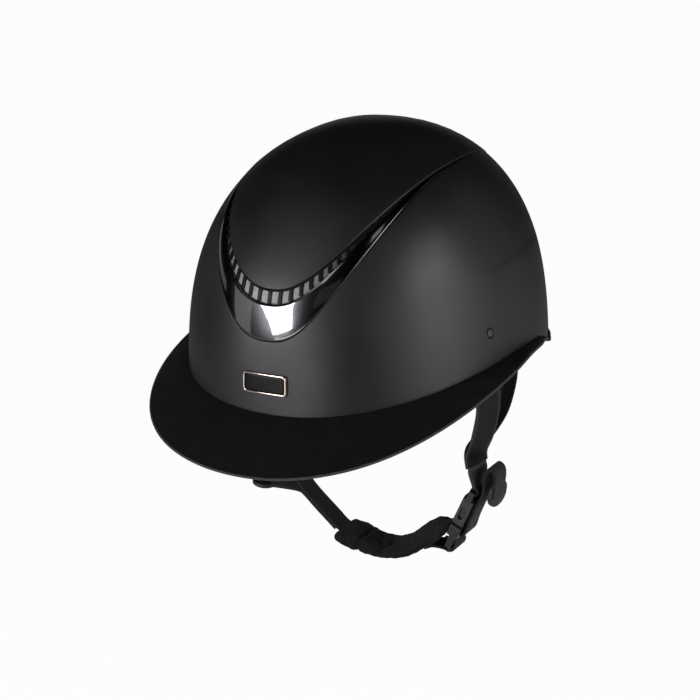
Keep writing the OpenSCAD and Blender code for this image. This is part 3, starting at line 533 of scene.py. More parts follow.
def spread(name, template, places, material):
    """One mesh of a template repeated at places: (point, 3 axes as columns, scale)."""
    mesh = bpy.data.meshes.new(name + "_points")
    mesh.from_pydata([tuple(np.asarray(p) * MM) for p, _, _ in places], [], [])
    turn = mesh.attributes.new("turn", "FLOAT_VECTOR", "POINT")
    scale = mesh.attributes.new("size", "FLOAT_VECTOR", "POINT")
    for i, (_, axes, s) in enumerate(places):
        turn.data[i].vector = Matrix(axes.tolist()).to_euler()[:]
        scale.data[i].vector = s
    holder = bpy.data.objects.new(name + "_points", mesh)
    bpy.context.collection.objects.link(holder)
    mod = holder.modifiers.new("spread", "NODES")
    mod.node_group = spread_tree()
    values = {"Piece": template, "Finish": material, "Size": 1.0}
    for item in mod.node_group.interface.items_tree:
        if item.name in values:
            mod[item.identifier] = values[item.name]
    made = evaluated_mesh(holder)
    bpy.data.objects.remove(holder)
    bpy.data.objects.remove(template)
    made.name = name
    if not made.materials:
        made.materials.append(material)
    return add_piece(name, made)


def axes_from(x, y):
    """Three columns: x, y made square to it, and their cross product."""
    x = np.asarray(x, float) / np.linalg.norm(x)
    y = np.asarray(y, float) - x * np.dot(x, y)
    y /= np.linalg.norm(y)
    return np.column_stack([x, y, np.cross(x, y)])


def evaluated_mesh(piece):
    """A new mesh of a piece with its modifiers, which are then removed."""
    bpy.context.view_layer.update()
    graph = bpy.context.evaluated_depsgraph_get()
    mesh = bpy.data.meshes.new_from_object(piece.evaluated_get(graph))
    piece.modifiers.clear()
    return mesh


def settle(piece):
    """Applies the modifiers of a piece to its mesh."""
    old = piece.data
    piece.data = evaluated_mesh(piece)
    bpy.data.meshes.remove(old)
    piece.data.polygons.foreach_set("use_smooth", [True] * len(piece.data.polygons))


def swell(piece, cap):
    """Cloth under pressure, with a cap on how far a point moves."""
    pressure = 4.0
    stiffness = 12
    frames = 20
    rest = vertex_values(piece.data, "co")
    mod = piece.modifiers.new("cloth", "CLOTH")
    mod.settings.quality = 4
    mod.settings.use_pressure = True
    mod.settings.uniform_pressure_force = pressure
    mod.settings.effector_weights.gravity = 0
    mod.settings.tension_stiffness = stiffness
    mod.settings.compression_stiffness = stiffness
    scene = bpy.context.scene
    for f in range(1, frames + 1):
        scene.frame_set(f)
    moved = evaluated_mesh(piece)
    step = vertex_values(moved, "co") - rest
    bpy.data.meshes.remove(moved)
    scene.frame_set(1)
    size = np.linalg.norm(step, axis=1, keepdims=True)
    step *= np.minimum(1, cap / np.maximum(size, 1e-9))
    piece.data.vertices.foreach_set("co", (rest + step).ravel())
    piece.data.update()


def plump(piece, voxel, cap):
    """Fills a soft piece: remesh, swell, one subdivision. The voxel and the cap are in metres."""
    remesh = piece.modifiers.new("voxels", "REMESH")
    remesh.mode = "VOXEL"
    remesh.voxel_size = voxel
    settle(piece)
    swell(piece, cap)
    smoother = piece.modifiers.new("soft", "SUBSURF")
    smoother.levels = 1
    smoother.render_levels = 1
    settle(piece)


def press(piece, carve):
    """Moves each point along its normal by carve(points, normals)."""
    mesh = piece.data
    points = vertex_values(mesh, "co") / MM
    normals = vertex_values(mesh, "normal")
    moved = (points + normals * carve(points, normals)[:, None]) * MM
    mesh.vertices.foreach_set("co", moved.ravel())
    mesh.update()


def groove(distance, width):
    """The depth, from 1 to 0, of a soft groove at a distance from its middle."""
    return np.exp(-(distance / width) ** 2)


# Materials

# The faint violet in the soft-touch gloss, and the painted shade round a rivet
SOFT_TOUCH_CAST = (0.98, 0.95, 1.0)
RIVET_SHADE_BLACK = (0.0004, 0.0004, 0.0004)


def feed(tree, value, socket):
    """Links a node's output to a socket, or sets the socket to a colour or a number."""
    if isinstance(value, bpy.types.NodeSocket):
        tree.links.new(value, socket)
    elif isinstance(value, tuple):
        socket.default_value = (*value, 1)
    else:
        socket.default_value = value


def calc(tree, operation, a, b=None):
    """One step of arithmetic on node outputs or numbers."""
    node = tree.nodes.new("ShaderNodeMath")
    node.operation = operation
    feed(tree, a, node.inputs[0])
    if b is not None:
        feed(tree, b, node.inputs[1])
    return node.outputs[0]


def noise(tree, vector, scale, detail=2.0, rough=0.5):
    node = tree.nodes.new("ShaderNodeTexNoise")
    feed(tree, vector, node.inputs["Vector"])
    feed(tree, scale, node.inputs["Scale"])
    node.inputs["Detail"].default_value = detail
    node.inputs["Roughness"].default_value = rough
    return node.outputs["Fac"]


def ramp(tree, value, low, high):
    """A soft step from 0 at low to 1 at high."""
    node = tree.nodes.new("ShaderNodeMapRange")
    node.interpolation_type = "SMOOTHSTEP"
    node.inputs["From Min"].default_value = low
    node.inputs["From Max"].default_value = high
    tree.links.new(value, node.inputs["Value"])
    return node.outputs["Result"]


def vary(tree, mask, low, high):
    """A value from low to high as the mask goes from 0 to 1."""
    node = tree.nodes.new("ShaderNodeMapRange")
    node.inputs["To Min"].default_value = low
    node.inputs["To Max"].default_value = high
    tree.links.new(mask, node.inputs["Value"])
    return node.outputs["Result"]


def blend_colours(tree, mask, a, b, amount=1.0):
    """From a to b by the mask times an amount."""
    if amount != 1.0:
        mask = calc(tree, "MULTIPLY", mask, amount)
    node = tree.nodes.new("ShaderNodeMix")
    node.data_type = "RGBA"
    tree.links.new(mask, node.inputs[0])
    feed(tree, a, node.inputs[6])
    feed(tree, b, node.inputs[7])
    return node.outputs[2]


def bump(tree, shader, height, strength, distance):
    node = tree.nodes.new("ShaderNodeBump")
    node.inputs["Strength"].default_value = strength
    node.inputs["Distance"].default_value = distance
    tree.links.new(height, node.inputs["Height"])
    tree.links.new(node.outputs["Normal"], shader.inputs["Normal"])


def own_place(tree):
    """The place on the piece, in metres."""
    return tree.nodes.new("ShaderNodeTexCoord").outputs["Object"]


def own_map(tree):
    """The length and the place across that lay_map wrote, in metres."""
    node = tree.nodes.new("ShaderNodeUVMap")
    node.uv_map = "Lay"
    return node.outputs["UV"]


def split(tree, vector):
    node = tree.nodes.new("ShaderNodeSeparateXYZ")
    tree.links.new(vector, node.inputs[0])
    return node.outputs


def group(name, count, outputs, build):
    """A shader node group with a vector, a count for each metre and plain outputs. It is built once."""
    tree = bpy.data.node_groups.get(name)
    if tree:
        return tree
    tree = bpy.data.node_groups.new(name, "ShaderNodeTree")
    add = tree.interface.new_socket
    add("Vector", in_out="INPUT", socket_type="NodeSocketVector")
    add(count, in_out="INPUT", socket_type="NodeSocketFloat").default_value = 900.0
    for label in outputs:
        add(label, in_out="OUTPUT", socket_type="NodeSocketFloat")
    build(tree, tree.nodes.new("NodeGroupInput").outputs, tree.nodes.new("NodeGroupOutput").inputs)
    return tree


def grain_group():
    """A fine grain, broad patches and a few scuffs."""
    def build(tree, given, out):
        fine = noise(tree, given["Vector"], given["Scale"], 3.0, 0.6)
        broad = noise(tree, given["Vector"], 14.0)
        scuff = noise(tree, given["Vector"], 120.0, 6.0, 0.75)
        tree.links.new(fine, out["Height"])
        tree.links.new(ramp(tree, broad, 0.35, 0.7), out["Patches"])
        tree.links.new(ramp(tree, scuff, 0.62, 0.75), out["Scuffs"])
    return group("fine_grain", "Scale", ("Height", "Patches", "Scuffs"), build)


def weave_group():
    """Threads that cross over and under each other."""
    def build(tree, given, out):
        place = split(tree, given["Vector"])
        turns = calc(tree, "MULTIPLY", given["Threads"], 2 * math.pi)
        x = calc(tree, "MULTIPLY", place[0], turns)
        y = calc(tree, "MULTIPLY", place[1], turns)
        warp = calc(tree, "ABSOLUTE", calc(tree, "SINE", x))
        weft = calc(tree, "ABSOLUTE", calc(tree, "SINE", y))
        half_x = calc(tree, "SINE", calc(tree, "MULTIPLY", x, 0.5))
        half_y = calc(tree, "SINE", calc(tree, "MULTIPLY", y, 0.5))
        over = ramp(tree, calc(tree, "MULTIPLY", half_x, half_y), -0.2, 0.2)
        first = calc(tree, "MULTIPLY", warp, over)
        second = calc(tree, "MULTIPLY", weft, calc(tree, "SUBTRACT", 1.0, over))
        tree.links.new(calc(tree, "ADD", first, second), out["Height"])
        tree.links.new(over, out["Over"])
    return group("crossed_threads", "Threads", ("Height", "Over"), build)


def knit_group():
    """Small loops with a fuzz on them, and patches of lint."""
    def build(tree, given, out):
        cells = tree.nodes.new("ShaderNodeTexVoronoi")
        tree.links.new(given["Vector"], cells.inputs["Vector"])
        tree.links.new(given["Scale"], cells.inputs["Scale"])
        loops = calc(tree, "SUBTRACT", 1.0, cells.outputs["Distance"])
        fuzz = calc(tree, "MULTIPLY", noise(tree, given["Vector"], 2600.0), 0.6)
        lint = noise(tree, given["Vector"], 90.0, 4.0, 0.65)
        tree.links.new(calc(tree, "ADD", loops, fuzz), out["Height"])
        tree.links.new(ramp(tree, lint, 0.4, 0.7), out["Lint"])
    return group("knit_loops", "Scale", ("Height", "Lint"), build)


def use(tree, built, vector, **values):
    """The outputs of a node group fed with a vector and plain values."""
    node = tree.nodes.new("ShaderNodeGroup")
    node.node_tree = built
    tree.links.new(vector, node.inputs["Vector"])
    for key, value in values.items():
        node.inputs[key].default_value = value
    return node.outputs


def brighter(colour, factor, lift=0.0):
    """A colour times a factor, plus a lift."""
    return tuple(min(1.0, c * factor + lift) for c in colour)


def begin(name, colour, rough, **settings):
    """A new material with plain values on its shader. A sheen takes a pale tint of the colour."""
    material = bpy.data.materials.new(name)
    material.use_nodes = True
    tree = material.node_tree
    shader = tree.nodes["Principled BSDF"]
    values = {"specular_ior_level": 0.5, "metallic": 0.0, "coat_weight": 0.0, "coat_roughness": 0.05,
              "sheen_weight": 0.0, "sheen_roughness": 0.4, "ior": 1.5, **settings}
    for socket in shader.inputs:
        key = socket.name.lower().replace(" ", "_")
        if key in values:
            socket.default_value = values[key]
    shader.inputs["Base Color"].default_value = (*colour, 1)
    shader.inputs["Roughness"].default_value = rough
    if values["sheen_weight"]:
        shader.inputs["Sheen Tint"].default_value = (*brighter(colour, 8, 0.3), 1)
    return material, tree, shader


def coated(name, colour, rough=0.45, grain=1100.0, strength=0.12, specular=0.4, coat=0.0, cast=(1, 1, 1)):
    """Painted or moulded plastic with a fine grain, faint patches and a few scuffs."""
    swing = 0.06
    material, tree, shader = begin(name, colour, rough, specular_ior_level=specular, coat_weight=coat)
    shader.inputs["Specular Tint"].default_value = (*cast, 1)
    out = use(tree, grain_group(), own_place(tree), Scale=grain)
    tint = blend_colours(tree, out["Patches"], colour, brighter(colour, 1.25))
    worn = blend_colours(tree, out["Scuffs"], tint, brighter(colour, 1.9, 0.004), 0.25)
    tree.links.new(worn, shader.inputs["Base Color"])
    tree.links.new(vary(tree, out["Patches"], rough - swing, rough + swing), shader.inputs["Roughness"])
    bump(tree, shader, out["Height"], strength, 0.0002)
    return material


def woven(name, colour, threads, mapped=True, strength=0.5, sheen=0.3):
    """Cloth of crossed threads, laid along the piece's map where it has one."""
    rough = 0.75
    swing = 0.1
    material, tree, shader = begin(name, colour, rough, specular_ior_level=0.25, sheen_weight=sheen)
    vector = own_map(tree) if mapped else own_place(tree)
    out = use(tree, weave_group(), vector, Threads=threads)
    fuzz = use(tree, grain_group(), own_place(tree), Scale=1600.0)
    tint = blend_colours(tree, out["Height"], brighter(colour, 0.45), brighter(colour, 2.2))
    tree.links.new(blend_colours(tree, fuzz["Patches"], tint, colour, 0.4), shader.inputs["Base Color"])
    tree.links.new(vary(tree, out["Over"], rough - swing, rough + swing), shader.inputs["Roughness"])
    bump(tree, shader, out["Height"], strength, 0.0004)
    return material


def napped(name, colour, scale, strength=0.5, sheen=0.4, lint=2.0, distance=0.0005, specular=0.15, top_lit=1.0):
    """Knit, fleece or brushed cloth, with painted light on its upper side where top_lit isn't 1."""
    rough = 0.9
    material, tree, shader = begin(name, colour, rough, specular_ior_level=specular, sheen_weight=sheen,
                                   sheen_roughness=0.5)
    out = use(tree, knit_group(), own_place(tree), Scale=scale)
    tint = blend_colours(tree, out["Lint"], colour, brighter(colour, lint))
    if top_lit != 1.0:
        # Painted light: faces that point up are lightened towards top_lit times the colour
        facing = split(tree, tree.nodes.new("ShaderNodeTexCoord").outputs["Normal"])
        tint = blend_colours(tree, ramp(tree, facing[2], -0.1, 0.9), tint, brighter(colour, top_lit))
    tree.links.new(tint, shader.inputs["Base Color"])
    tree.links.new(vary(tree, out["Lint"], rough - 0.08, rough + 0.06), shader.inputs["Roughness"])
    bump(tree, shader, out["Height"], strength, distance)
    return material


def leather(name, colour, rough, shine):
    """Grained leather with a painted highlight along its edges."""
    swing = 0.08
    material, tree, shader = begin(name, colour, rough, specular_ior_level=shine, coat_weight=shine / 8,
                                   coat_roughness=0.35)
    vector = own_place(tree)
    pores = tree.nodes.new("ShaderNodeTexVoronoi")
    pores.feature = "DISTANCE_TO_EDGE"
    pores.inputs["Scale"].default_value = 1300.0
    tree.links.new(vector, pores.inputs["Vector"])
    out = use(tree, grain_group(), vector, Scale=1500.0)
    deep = calc(tree, "MULTIPLY", pores.outputs["Distance"], 1.5)
    height = calc(tree, "ADD", deep, calc(tree, "MULTIPLY", out["Height"], 0.5))
    # The leg's map holds the distance from its edge
    from_edge = split(tree, own_map(tree))[1]
    # Painted highlight: the colour is nine times as bright up to 0.9 mm from each edge, fading out by 1.6 mm;
    # pieces whose map is all zero, as the neck folds, take it all over
    paint = calc(tree, "SUBTRACT", 1.0, ramp(tree, from_edge, 0.0009, 0.0016))
    tint = blend_colours(tree, out["Patches"], colour, brighter(colour, 1.4))
    tree.links.new(blend_colours(tree, paint, tint, brighter(colour, 9.0)), shader.inputs["Base Color"])
    tree.links.new(vary(tree, out["Patches"], rough - swing, rough + swing), shader.inputs["Roughness"])
    bump(tree, shader, height, 0.35, 0.0003)
    return material


def metal(name, colour, rough):
    """Bare metal with a few darker scuffs."""
    material, tree, shader = begin(name, colour, rough, metallic=1.0)
    out = use(tree, grain_group(), own_place(tree), Scale=700.0)
    worn = blend_colours(tree, out["Scuffs"], colour, brighter(colour, 0.7))
    tree.links.new(worn, shader.inputs["Base Color"])
    tree.links.new(vary(tree, out["Patches"], rough, rough + 0.1), shader.inputs["Roughness"])
    bump(tree, shader, out["Height"], 0.05, 0.0001)
    return material


def chosen(key):
    """A colour from the sidebar."""
    return tuple(getattr(bpy.context.scene.helmet_colours, key))


def painted_rivet_shade(tree):
    """A mask of painted shade that is 1 round the line through both side rivets, and 0 outside the ring."""
    low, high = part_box("side_rivets")
    place = split(tree, own_place(tree))
    flat = tree.nodes.new("ShaderNodeCombineXYZ")
    tree.links.new(place[1], flat.inputs[1])
    tree.links.new(place[2], flat.inputs[2])
    reach = tree.nodes.new("ShaderNodeVectorMath")
    reach.operation = "DISTANCE"
    tree.links.new(flat.outputs[0], reach.inputs[0])
    reach.inputs[1].default_value = (0, (low[1] + high[1]) / 2, (low[2] + high[2]) / 2)
    outside = ramp(tree, reach.outputs["Value"], (RIVET_SHADE_R - 0.5) * MM, RIVET_SHADE_R * MM)
    return calc(tree, "SUBTRACT", 1.0, outside)


def shell_finish():
    """Soft-touch black with a ring of painted shade round each side rivet."""
    material = coated("shell_soft_touch", chosen("shell"), 0.47, specular=0.53, cast=SOFT_TOUCH_CAST)
    tree = material.node_tree
    shader = tree.nodes["Principled BSDF"]
    near = painted_rivet_shade(tree)
    # Painted shade: the base colour goes nearly black in the ring round each rivet
    painted = shader.inputs["Base Color"].links[0].from_socket
    tree.links.new(blend_colours(tree, near, painted, RIVET_SHADE_BLACK), shader.inputs["Base Color"])
    worn = shader.inputs["Roughness"].links[0].from_socket
    tree.links.new(calc(tree, "MAXIMUM", worn, near), shader.inputs["Roughness"])
    return material


def trim_finish():
    """Black chrome: a clear mirror coat over a softer dark metal, with faint smears."""
    tint = chosen("trim")
    material, tree, shader = begin("black_chrome", tint, 0.2, metallic=1.0, coat_weight=1.0,
                                   coat_roughness=0.03)
    shader.inputs["Coat IOR"].default_value = 1.8
    out = use(tree, grain_group(), own_place(tree), Scale=260.0)
    smeared = blend_colours(tree, out["Patches"], tint, brighter(tint, 1.25))
    tree.links.new(smeared, shader.inputs["Base Color"])
    tree.links.new(vary(tree, out["Scuffs"], 0.2, 0.3), shader.inputs["Roughness"])
    bump(tree, shader, out["Height"], 0.02, 0.0002)
    return material


def mesh_finish():
    """Fine grey mesh: light threads over dark holes, with painted shade towards the vent's ends."""
    material, tree, shader = begin("vent_mesh_grey", (0.3, 0.3, 0.31), 0.5, specular_ior_level=0.4,
                                   metallic=0.7)
    out = use(tree, weave_group(), own_map(tree), Threads=1250.0)
    thread = ramp(tree, out["Height"], 0.2, 0.75)
    threads = blend_colours(tree, thread, (0.03, 0.03, 0.032), (0.55, 0.555, 0.57))
    # Painted shade: from the vent's middle towards its ends the mesh darkens to near black
    length = split(tree, own_map(tree))[0]
    shaded_ends = ramp(tree, calc(tree, "ABSOLUTE", length), 0.02, 0.07)
    tree.links.new(blend_colours(tree, shaded_ends, threads, (0.012, 0.012, 0.013)), shader.inputs["Base Color"])
    tree.links.new(vary(tree, out["Over"], 0.4, 0.6), shader.inputs["Roughness"])
    bump(tree, shader, out["Height"], 0.5, 0.0003)
    return material


def brim_finish():
    return napped("brim_brushed_cloth", chosen("brim"), 1500.0, strength=0.35, sheen=0.06, lint=1.5,
                  distance=0.0002, specular=0.08)


def fleece_finish():
    return napped("pad_fleece", chosen("pad"), 950.0, strength=0.7, sheen=0.12, lint=1.8, distance=0.0006,
                  specular=0.08, top_lit=4.0)


def lacquer_finish():
    return coated("rivet_lacquer", (0.005, 0.005, 0.0055), 0.22, strength=0.06, specular=0.9, coat=0.9)


def buckle_finish():
    return coated("buckle_plastic", (0.009, 0.009, 0.0095), 0.25, strength=0.08, specular=0.3, coat=0.35)


def floor_finish():
    """A white floor that the camera sees as nearly pure white."""
    material, tree, shader = begin("studio_floor", (0.86, 0.86, 0.86), 0.9, specular_ior_level=0.0)
    glow = tree.nodes.new("ShaderNodeEmission")
    glow.inputs["Color"].default_value = (1, 1, 1, 1)
    both = tree.nodes.new("ShaderNodeMixShader")
    seen = tree.nodes.new("ShaderNodeLightPath").outputs["Is Camera Ray"]
    tree.links.new(calc(tree, "MULTIPLY", seen, 0.97), both.inputs[0])
    tree.links.new(shader.outputs[0], both.inputs[1])
    tree.links.new(glow.outputs[0], both.inputs[2])
    tree.links.new(both.outputs[0], tree.nodes["Material Output"].inputs["Surface"])
    return material


FINISHES = {
    "shell": shell_finish,
    "panel": lambda: coated("panel_soft_touch", chosen("shell"), 0.5, specular=0.45, cast=SOFT_TOUCH_CAST),
    "trim": trim_finish,
    "mesh": mesh_finish,
    "rib": lambda: coated("rib_black", (0.004, 0.004, 0.0045), strength=0.05, specular=0.12),
    "badge_metal": lambda: metal("badge_warm_metal", (0.5, 0.4, 0.36), 0.1),
    "badge_dark": lambda: coated("badge_dark", (0.003, 0.003, 0.0035), 0.4, strength=0.1, specular=0.15),
    "brim": brim_finish,
    "piping": lambda: woven("brim_piping", (0.03, 0.03, 0.032), 900.0),
    "edge": lambda: coated("edge_strip", (0.012, 0.012, 0.013), 0.55, strength=0.2),
    "foam": lambda: coated("liner_foam", (0.018, 0.018, 0.019), 0.8, grain=450.0, strength=0.5, specular=0.2),
    "lining": lambda: napped("lining_cloth", (0.018, 0.018, 0.02), 1100.0, sheen=0.35),
    "cradle": lambda: coated("cradle_plastic", (0.03, 0.03, 0.033), 0.42, strength=0.15),
    "fit": lambda: coated("dial_plastic", (0.013, 0.013, 0.015), 0.38, strength=0.15),
    "steel": lambda: metal("screw_steel", (0.55, 0.55, 0.56), 0.3),
    "lacquer": lacquer_finish,
    "leather": lambda: leather("harness_leather", chosen("leather"), 0.46, 0.15),
    # Painted shade: the harness leather at half its colour and with little shine, for the rear legs
    "inner_leather": lambda: leather("harness_leather_inner", brighter(chosen("leather"), 0.5), 0.62, 0.02),
    "thread": lambda: woven("stitch_thread", (0.03, 0.03, 0.032), 2500.0, mapped=False, sheen=0.2),
    "buckle": buckle_finish,
    "webbing": lambda: woven("strap_webbing", (0.0095, 0.0092, 0.0103), 620.0, strength=0.8),
    "tab": lambda: coated("tab_rubber", (0.016, 0.0155, 0.0175), 0.5, strength=0.25),
    "fleece": fleece_finish,
    "floor": floor_finish,
}
MADE = {}


def finish(name):
    """The material of a name in FINISHES, made once."""
    if name not in MADE:
        MADE[name] = FINISHES[name]()
    return MADE[name]


def dress(piece, finish_name, body, nodes=()):
    """Gives a piece its finish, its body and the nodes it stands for."""
    piece.data.materials.clear()
    piece.data.materials.append(finish(finish_name))
    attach(piece, body)
    if nodes:
        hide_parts(*nodes)


def repaint(nodes, finish_name, edge=0.0):
    """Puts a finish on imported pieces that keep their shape. Their edges are softened by edge."""
    for node in nodes:
        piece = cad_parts[node]
        for slot in piece.material_slots:
            slot.material = finish(finish_name)
        if edge:
            mod = piece.modifiers.new("edges", "BEVEL")
            mod.width = edge * MM
            mod.segments = 2
            mod.limit_method = "ANGLE"
            mod.angle_limit = math.radians(32)
            mod.harden_normals = False


# Shell, trim, vent and badge

# Columns round the shell and round the liner. Where the two face each other their rings lie at the same
# shares of the way out, and below WALL_TOP at the same shares of the height.
SHELL_COLS = np.arange(0, 360, 1.5)
LINER_COLS = np.arange(0, 360, 2.0)
DOME_RINGS = (0.06, 0.2, 0.36, 0.52, 0.66, 0.76, 0.85, 0.92)
WALL_TOP = 34.0
# How far the crown panel's underside clears the seat beyond the gap
PANEL_LIFT = 0.7
# Depths of the vent's screen and ribs, the bow of the screen, and the ribs' thickness
MESH_DEPTH = 1.3
MESH_BOW = 0.25
RIB_DEPTH = 0.75
RIB_T = 1.1


def crease(u, z):
    """How far the skin stands out at a point below the crease."""
    u0, z0 = CREASE_FRONT
    u1, z1 = CREASE_REAR
    f = (side(u) - u0) / (u1 - u0)
    line = mix(z0, z1, f) + 1.5 * np.sin(math.pi * np.clip(f, 0, 1))
    ends = smooth(f / 0.25) * smooth((1.12 - f) / 0.3)
    return CREASE_HEIGHT * ends * smooth((line + 0.8 - z) / 1.6) * smooth((z - line + 22) / 20)


def build_shell():
    """Rings outside from the sunk seat down to the rim, then inside from the rim up."""
    edge = seat_edge(SHELL_COLS)
    top = at_s(SHELL_COLS, along(SHELL_COLS, edge, 0.7), 0)[..., 2]
    rim = rim_z(SHELL_COLS)
    rows = [at_s(SHELL_COLS, f * edge, SEAT) for f in (0.05, 0.2, 0.4, 0.6, 0.75, 0.88, 0.97, 1)]
    rows += [at_s(SHELL_COLS, edge, d) for d in (1.6, 0.9, 0.45)]
    for out, d in ((0.14, 0.2), (0.36, 0.05), (0.7, 0)):
        rows.append(at_s(SHELL_COLS, along(SHELL_COLS, edge, out), d))
    for f in np.linspace(0.012, 1, 74):
        z = mix(top, rim + 0.7, f)
        rows.append(at_z(SHELL_COLS, z, -crease(SHELL_COLS, z)))
    for up, d in ((0.2, 0.15), (0, 0.6), (0, SHELL_T - 0.6), (0.6, SHELL_T)):
        rows.append(at_z(SHELL_COLS, rim + up, d))
    rows += [at_z(SHELL_COLS, mix(rim, WALL_TOP, f), SHELL_T) for f in (0.25, 0.5, 0.75, 1)]
    rows += [at_s(SHELL_COLS, s, SHELL_T) for s in DOME_RINGS[::-1]]
    dress(solid("shell_skin", rows, "poles"), "shell", "helmet", ["outer_shell"])


def build_panel():
    """Rings outside from the top to the rounded edge, then the underside back in."""
    edge = panel_s(SHELL_COLS)
    under = SEAT - GAP - PANEL_LIFT
    shares = (0.03, 0.1, 0.2, 0.3, 0.4, 0.5, 0.6, 0.7, 0.8, 0.88, 0.94, 0.97)
    rows = [at_s(SHELL_COLS, f * edge, -PROUD) for f in shares]
    for back, d in ((1.3, -0.40), (0.8, -0.36), (0.4, -0.24), (0.14, -0.02), (0.0, 0.3), (0.0, 0.9)):
        rows.append(at_s(SHELL_COLS, along(SHELL_COLS, edge, -back), d))
    rows += [at_s(SHELL_COLS, f * edge, under) for f in (1, 0.85, 0.6, 0.35, 0.1)]
    dress(solid("crown_skin", rows, "poles"), "panel", "helmet", ["crown_panel"])


def build_trim():
    bulge = bpy.context.scene.helmet_sizes.trim_bulge / MM
    us = np.linspace(-TRIM_TIP, TRIM_TIP, 281)
    vent = vent_s(us)
    up = along(us, vent, np.maximum(0, 0.2 - (vent - panel_s(us)) * 100))
    low = np.maximum(trim_s(us), along(us, vent, 0.5))
    # The bulge flattens where the crescent is narrow, and beyond the small step near each end
    full = np.minimum(1, (low - up) * 16) * mix(1, 0.15, smooth((side(us) - TRIM_STEP) / 1.2))
    width = np.linalg.norm(at_s(us, low, 0) - at_s(us, up, 0), axis=1)
    lip = np.minimum(0.3, TRIM_LIP / np.maximum(width, 0.1))
    # From the lower edge up: the share of the lip or of the face, the depth, and the share of the bulge
    lower = [(0.0, 0.9, 0), (0.0, 0.32, 0), (0.1, 0.06, 0.12), (0.3, -0.05, 0.36), (0.6, -0.04, 0.58),
             (1.0, 0.0, 0.7)]
    face = [(0.17, 0.0, 0.9), (0.37, 0.0, 1.0), (0.56, 0.0, 1.0), (0.77, 0.0, 0.92), (0.885, 0.0, 0.8),
            (0.954, 0.0, 0.66), (0.983, 0.02, 0.42), (1.0, 0.25, 0.1), (1.0, 1.0, 0)]
    section = [(f * lip, d, b) for f, d, b in lower]
    section += [(lip + (1 - lip) * f, d, b) for f, d, b in face]
    lines = [at_s(us, mix(low, up, f), d + 0.05 - bulge * b * full) for f, d, b in section]
    lines += [at_s(us, mix(low, up, f), SEAT - GAP) for f in (1, 0.66, 0.33, 0)]
    dress(solid("trim_crescent", crosswise(lines)), "trim", "helmet", ["front_trim"])


def vent_screen(us, up, low, run):
    """A sheet that bows out a little between its edges."""
    tall = np.linalg.norm(at_s(us, low, MESH_DEPTH) - at_s(us, up, MESH_DEPTH), axis=1)
    shares = np.linspace(0, 1, 7)
    lines = []
    for f in shares:
        bow = MESH_BOW * 4 * f * (1 - f) * np.minimum(1, tall / 6)
        lines.append(at_s(us, mix(low, up, f), MESH_DEPTH - bow))
    lines += [at_s(us, mix(low, up, f), SEAT - GAP) for f in shares[::-1]]
    uv = [np.stack([run, tall * f], -1) for f in (*shares, *shares[::-1])]
    return solid("vent_screen", crosswise(lines), uv=crosswise(uv))


def vent_bars(us, up, low, run):
    """Ribs an equal length apart along the vent."""
    sizes = bpy.context.scene.helmet_sizes
    places = []
    for i in range(-sizes.side_ribs, sizes.side_ribs + 1):
        u = float(np.interp(i * sizes.rib_pitch / MM, run, us))
        s_up = float(np.interp(u, us, up))
        s_low = float(np.interp(u, us, low))
        top = at_s(u, s_up, RIB_DEPTH)
        foot = at_s(u, s_low, RIB_DEPTH)
        middle = (s_up + s_low) / 2
        ahead = at_s(u + 0.3, middle, RIB_DEPTH) - at_s(u - 0.3, middle, RIB_DEPTH)
        tall = max(np.linalg.norm(top - foot) - 0.2, 0.4)
        size = (sizes.rib_width / MM, tall, RIB_T)
        places.append(((top + foot) / 2, axes_from(ahead, top - foot), size))
    return spread("vent_bars", unit_block("rib_template", 0.12), places, finish("rib"))


def vent_rail(us):
    """The strip that joins the ribs along the upper edge."""
    up = along(us, panel_s(us), 0.3)
    vent = np.maximum(along(us, vent_s(us), -0.4), along(us, up, 0.1))
    low = np.minimum(along(us, panel_s(us), 1.0), vent)
    section = [(low, 0.5), (mix(low, up, 0.5), 0.4), (up, 0.5), (up, 1.0), (low, 1.0)]
    return solid("vent_rail", crosswise([at_s(us, s, d) for s, d in section]))


def build_vent():
    us = np.linspace(-VENT_END - 2, VENT_END + 2, 201)
    up = along(us, panel_s(us), 0.25)
    low = np.maximum(along(us, vent_s(us), -0.25), along(us, up, 0.2))
    run = lengths(at_s(us, (up + low) / 2, MESH_DEPTH))
    run -= run[len(run) // 2]
    dress(vent_screen(us, up, low, run), "mesh", "helmet", ["vent_mesh"])
    ribs = join("vent_bars", [vent_bars(us, up, low, run), vent_rail(us)])
    dress(ribs, "rib", "helmet", ["vent_ribs"])


def on_front(x, y, out):
    """A point of the badge: x across, y up and out from the shell, bent to the shell's curve."""
    across = np.array([1.0, 0, 0])
    base = at_z(0.0, BADGE_Z, 0)
    n = normal_at(0.0, BADGE_Z, 0)
    up = np.cross(n, across)
    up /= math.copysign(np.linalg.norm(up), up[2])
    a = x / BADGE_BEND
    r = BADGE_BEND + out
    return base + n * (r * math.cos(a) - BADGE_BEND) + across * r * math.sin(a) + up * y


def rounded(w, h, r):
    """The outline of a rounded rectangle, with points along its straight sides too."""
    points = corner_ring(w / 2 - r, h / 2 - r, r, 8)
    full = []
    for i, (x0, y0) in enumerate(points):
        x1, y1 = points[(i + 1) % len(points)]
        steps = max(1, int(math.hypot(x1 - x0, y1 - y0) / 2))
        full += [(mix(x0, x1, k / steps), mix(y0, y1, k / steps)) for k in range(steps)]
    return full


def badge_rim():
    section = ((0, 0.15), (0, 1.35), (0.15, 1.7), (0.45, 1.88), (1.0, 1.9), (BADGE_BAR - 0.25, 1.8),
               (BADGE_BAR, 1.5), (BADGE_BAR, 0.3), (BADGE_BAR - 0.2, 0.15))
    base = rounded(BADGE_W, BADGE_H, BADGE_CORNER)
    rows = []
    for inset, out in section:
        fx = (BADGE_W - 2 * inset) / BADGE_W
        fy = (BADGE_H - 2 * inset) / BADGE_H
        rows.append([on_front(x * fx, y * fy, out) for x, y in base])
    return solid("badge_rim", rows, "ring")


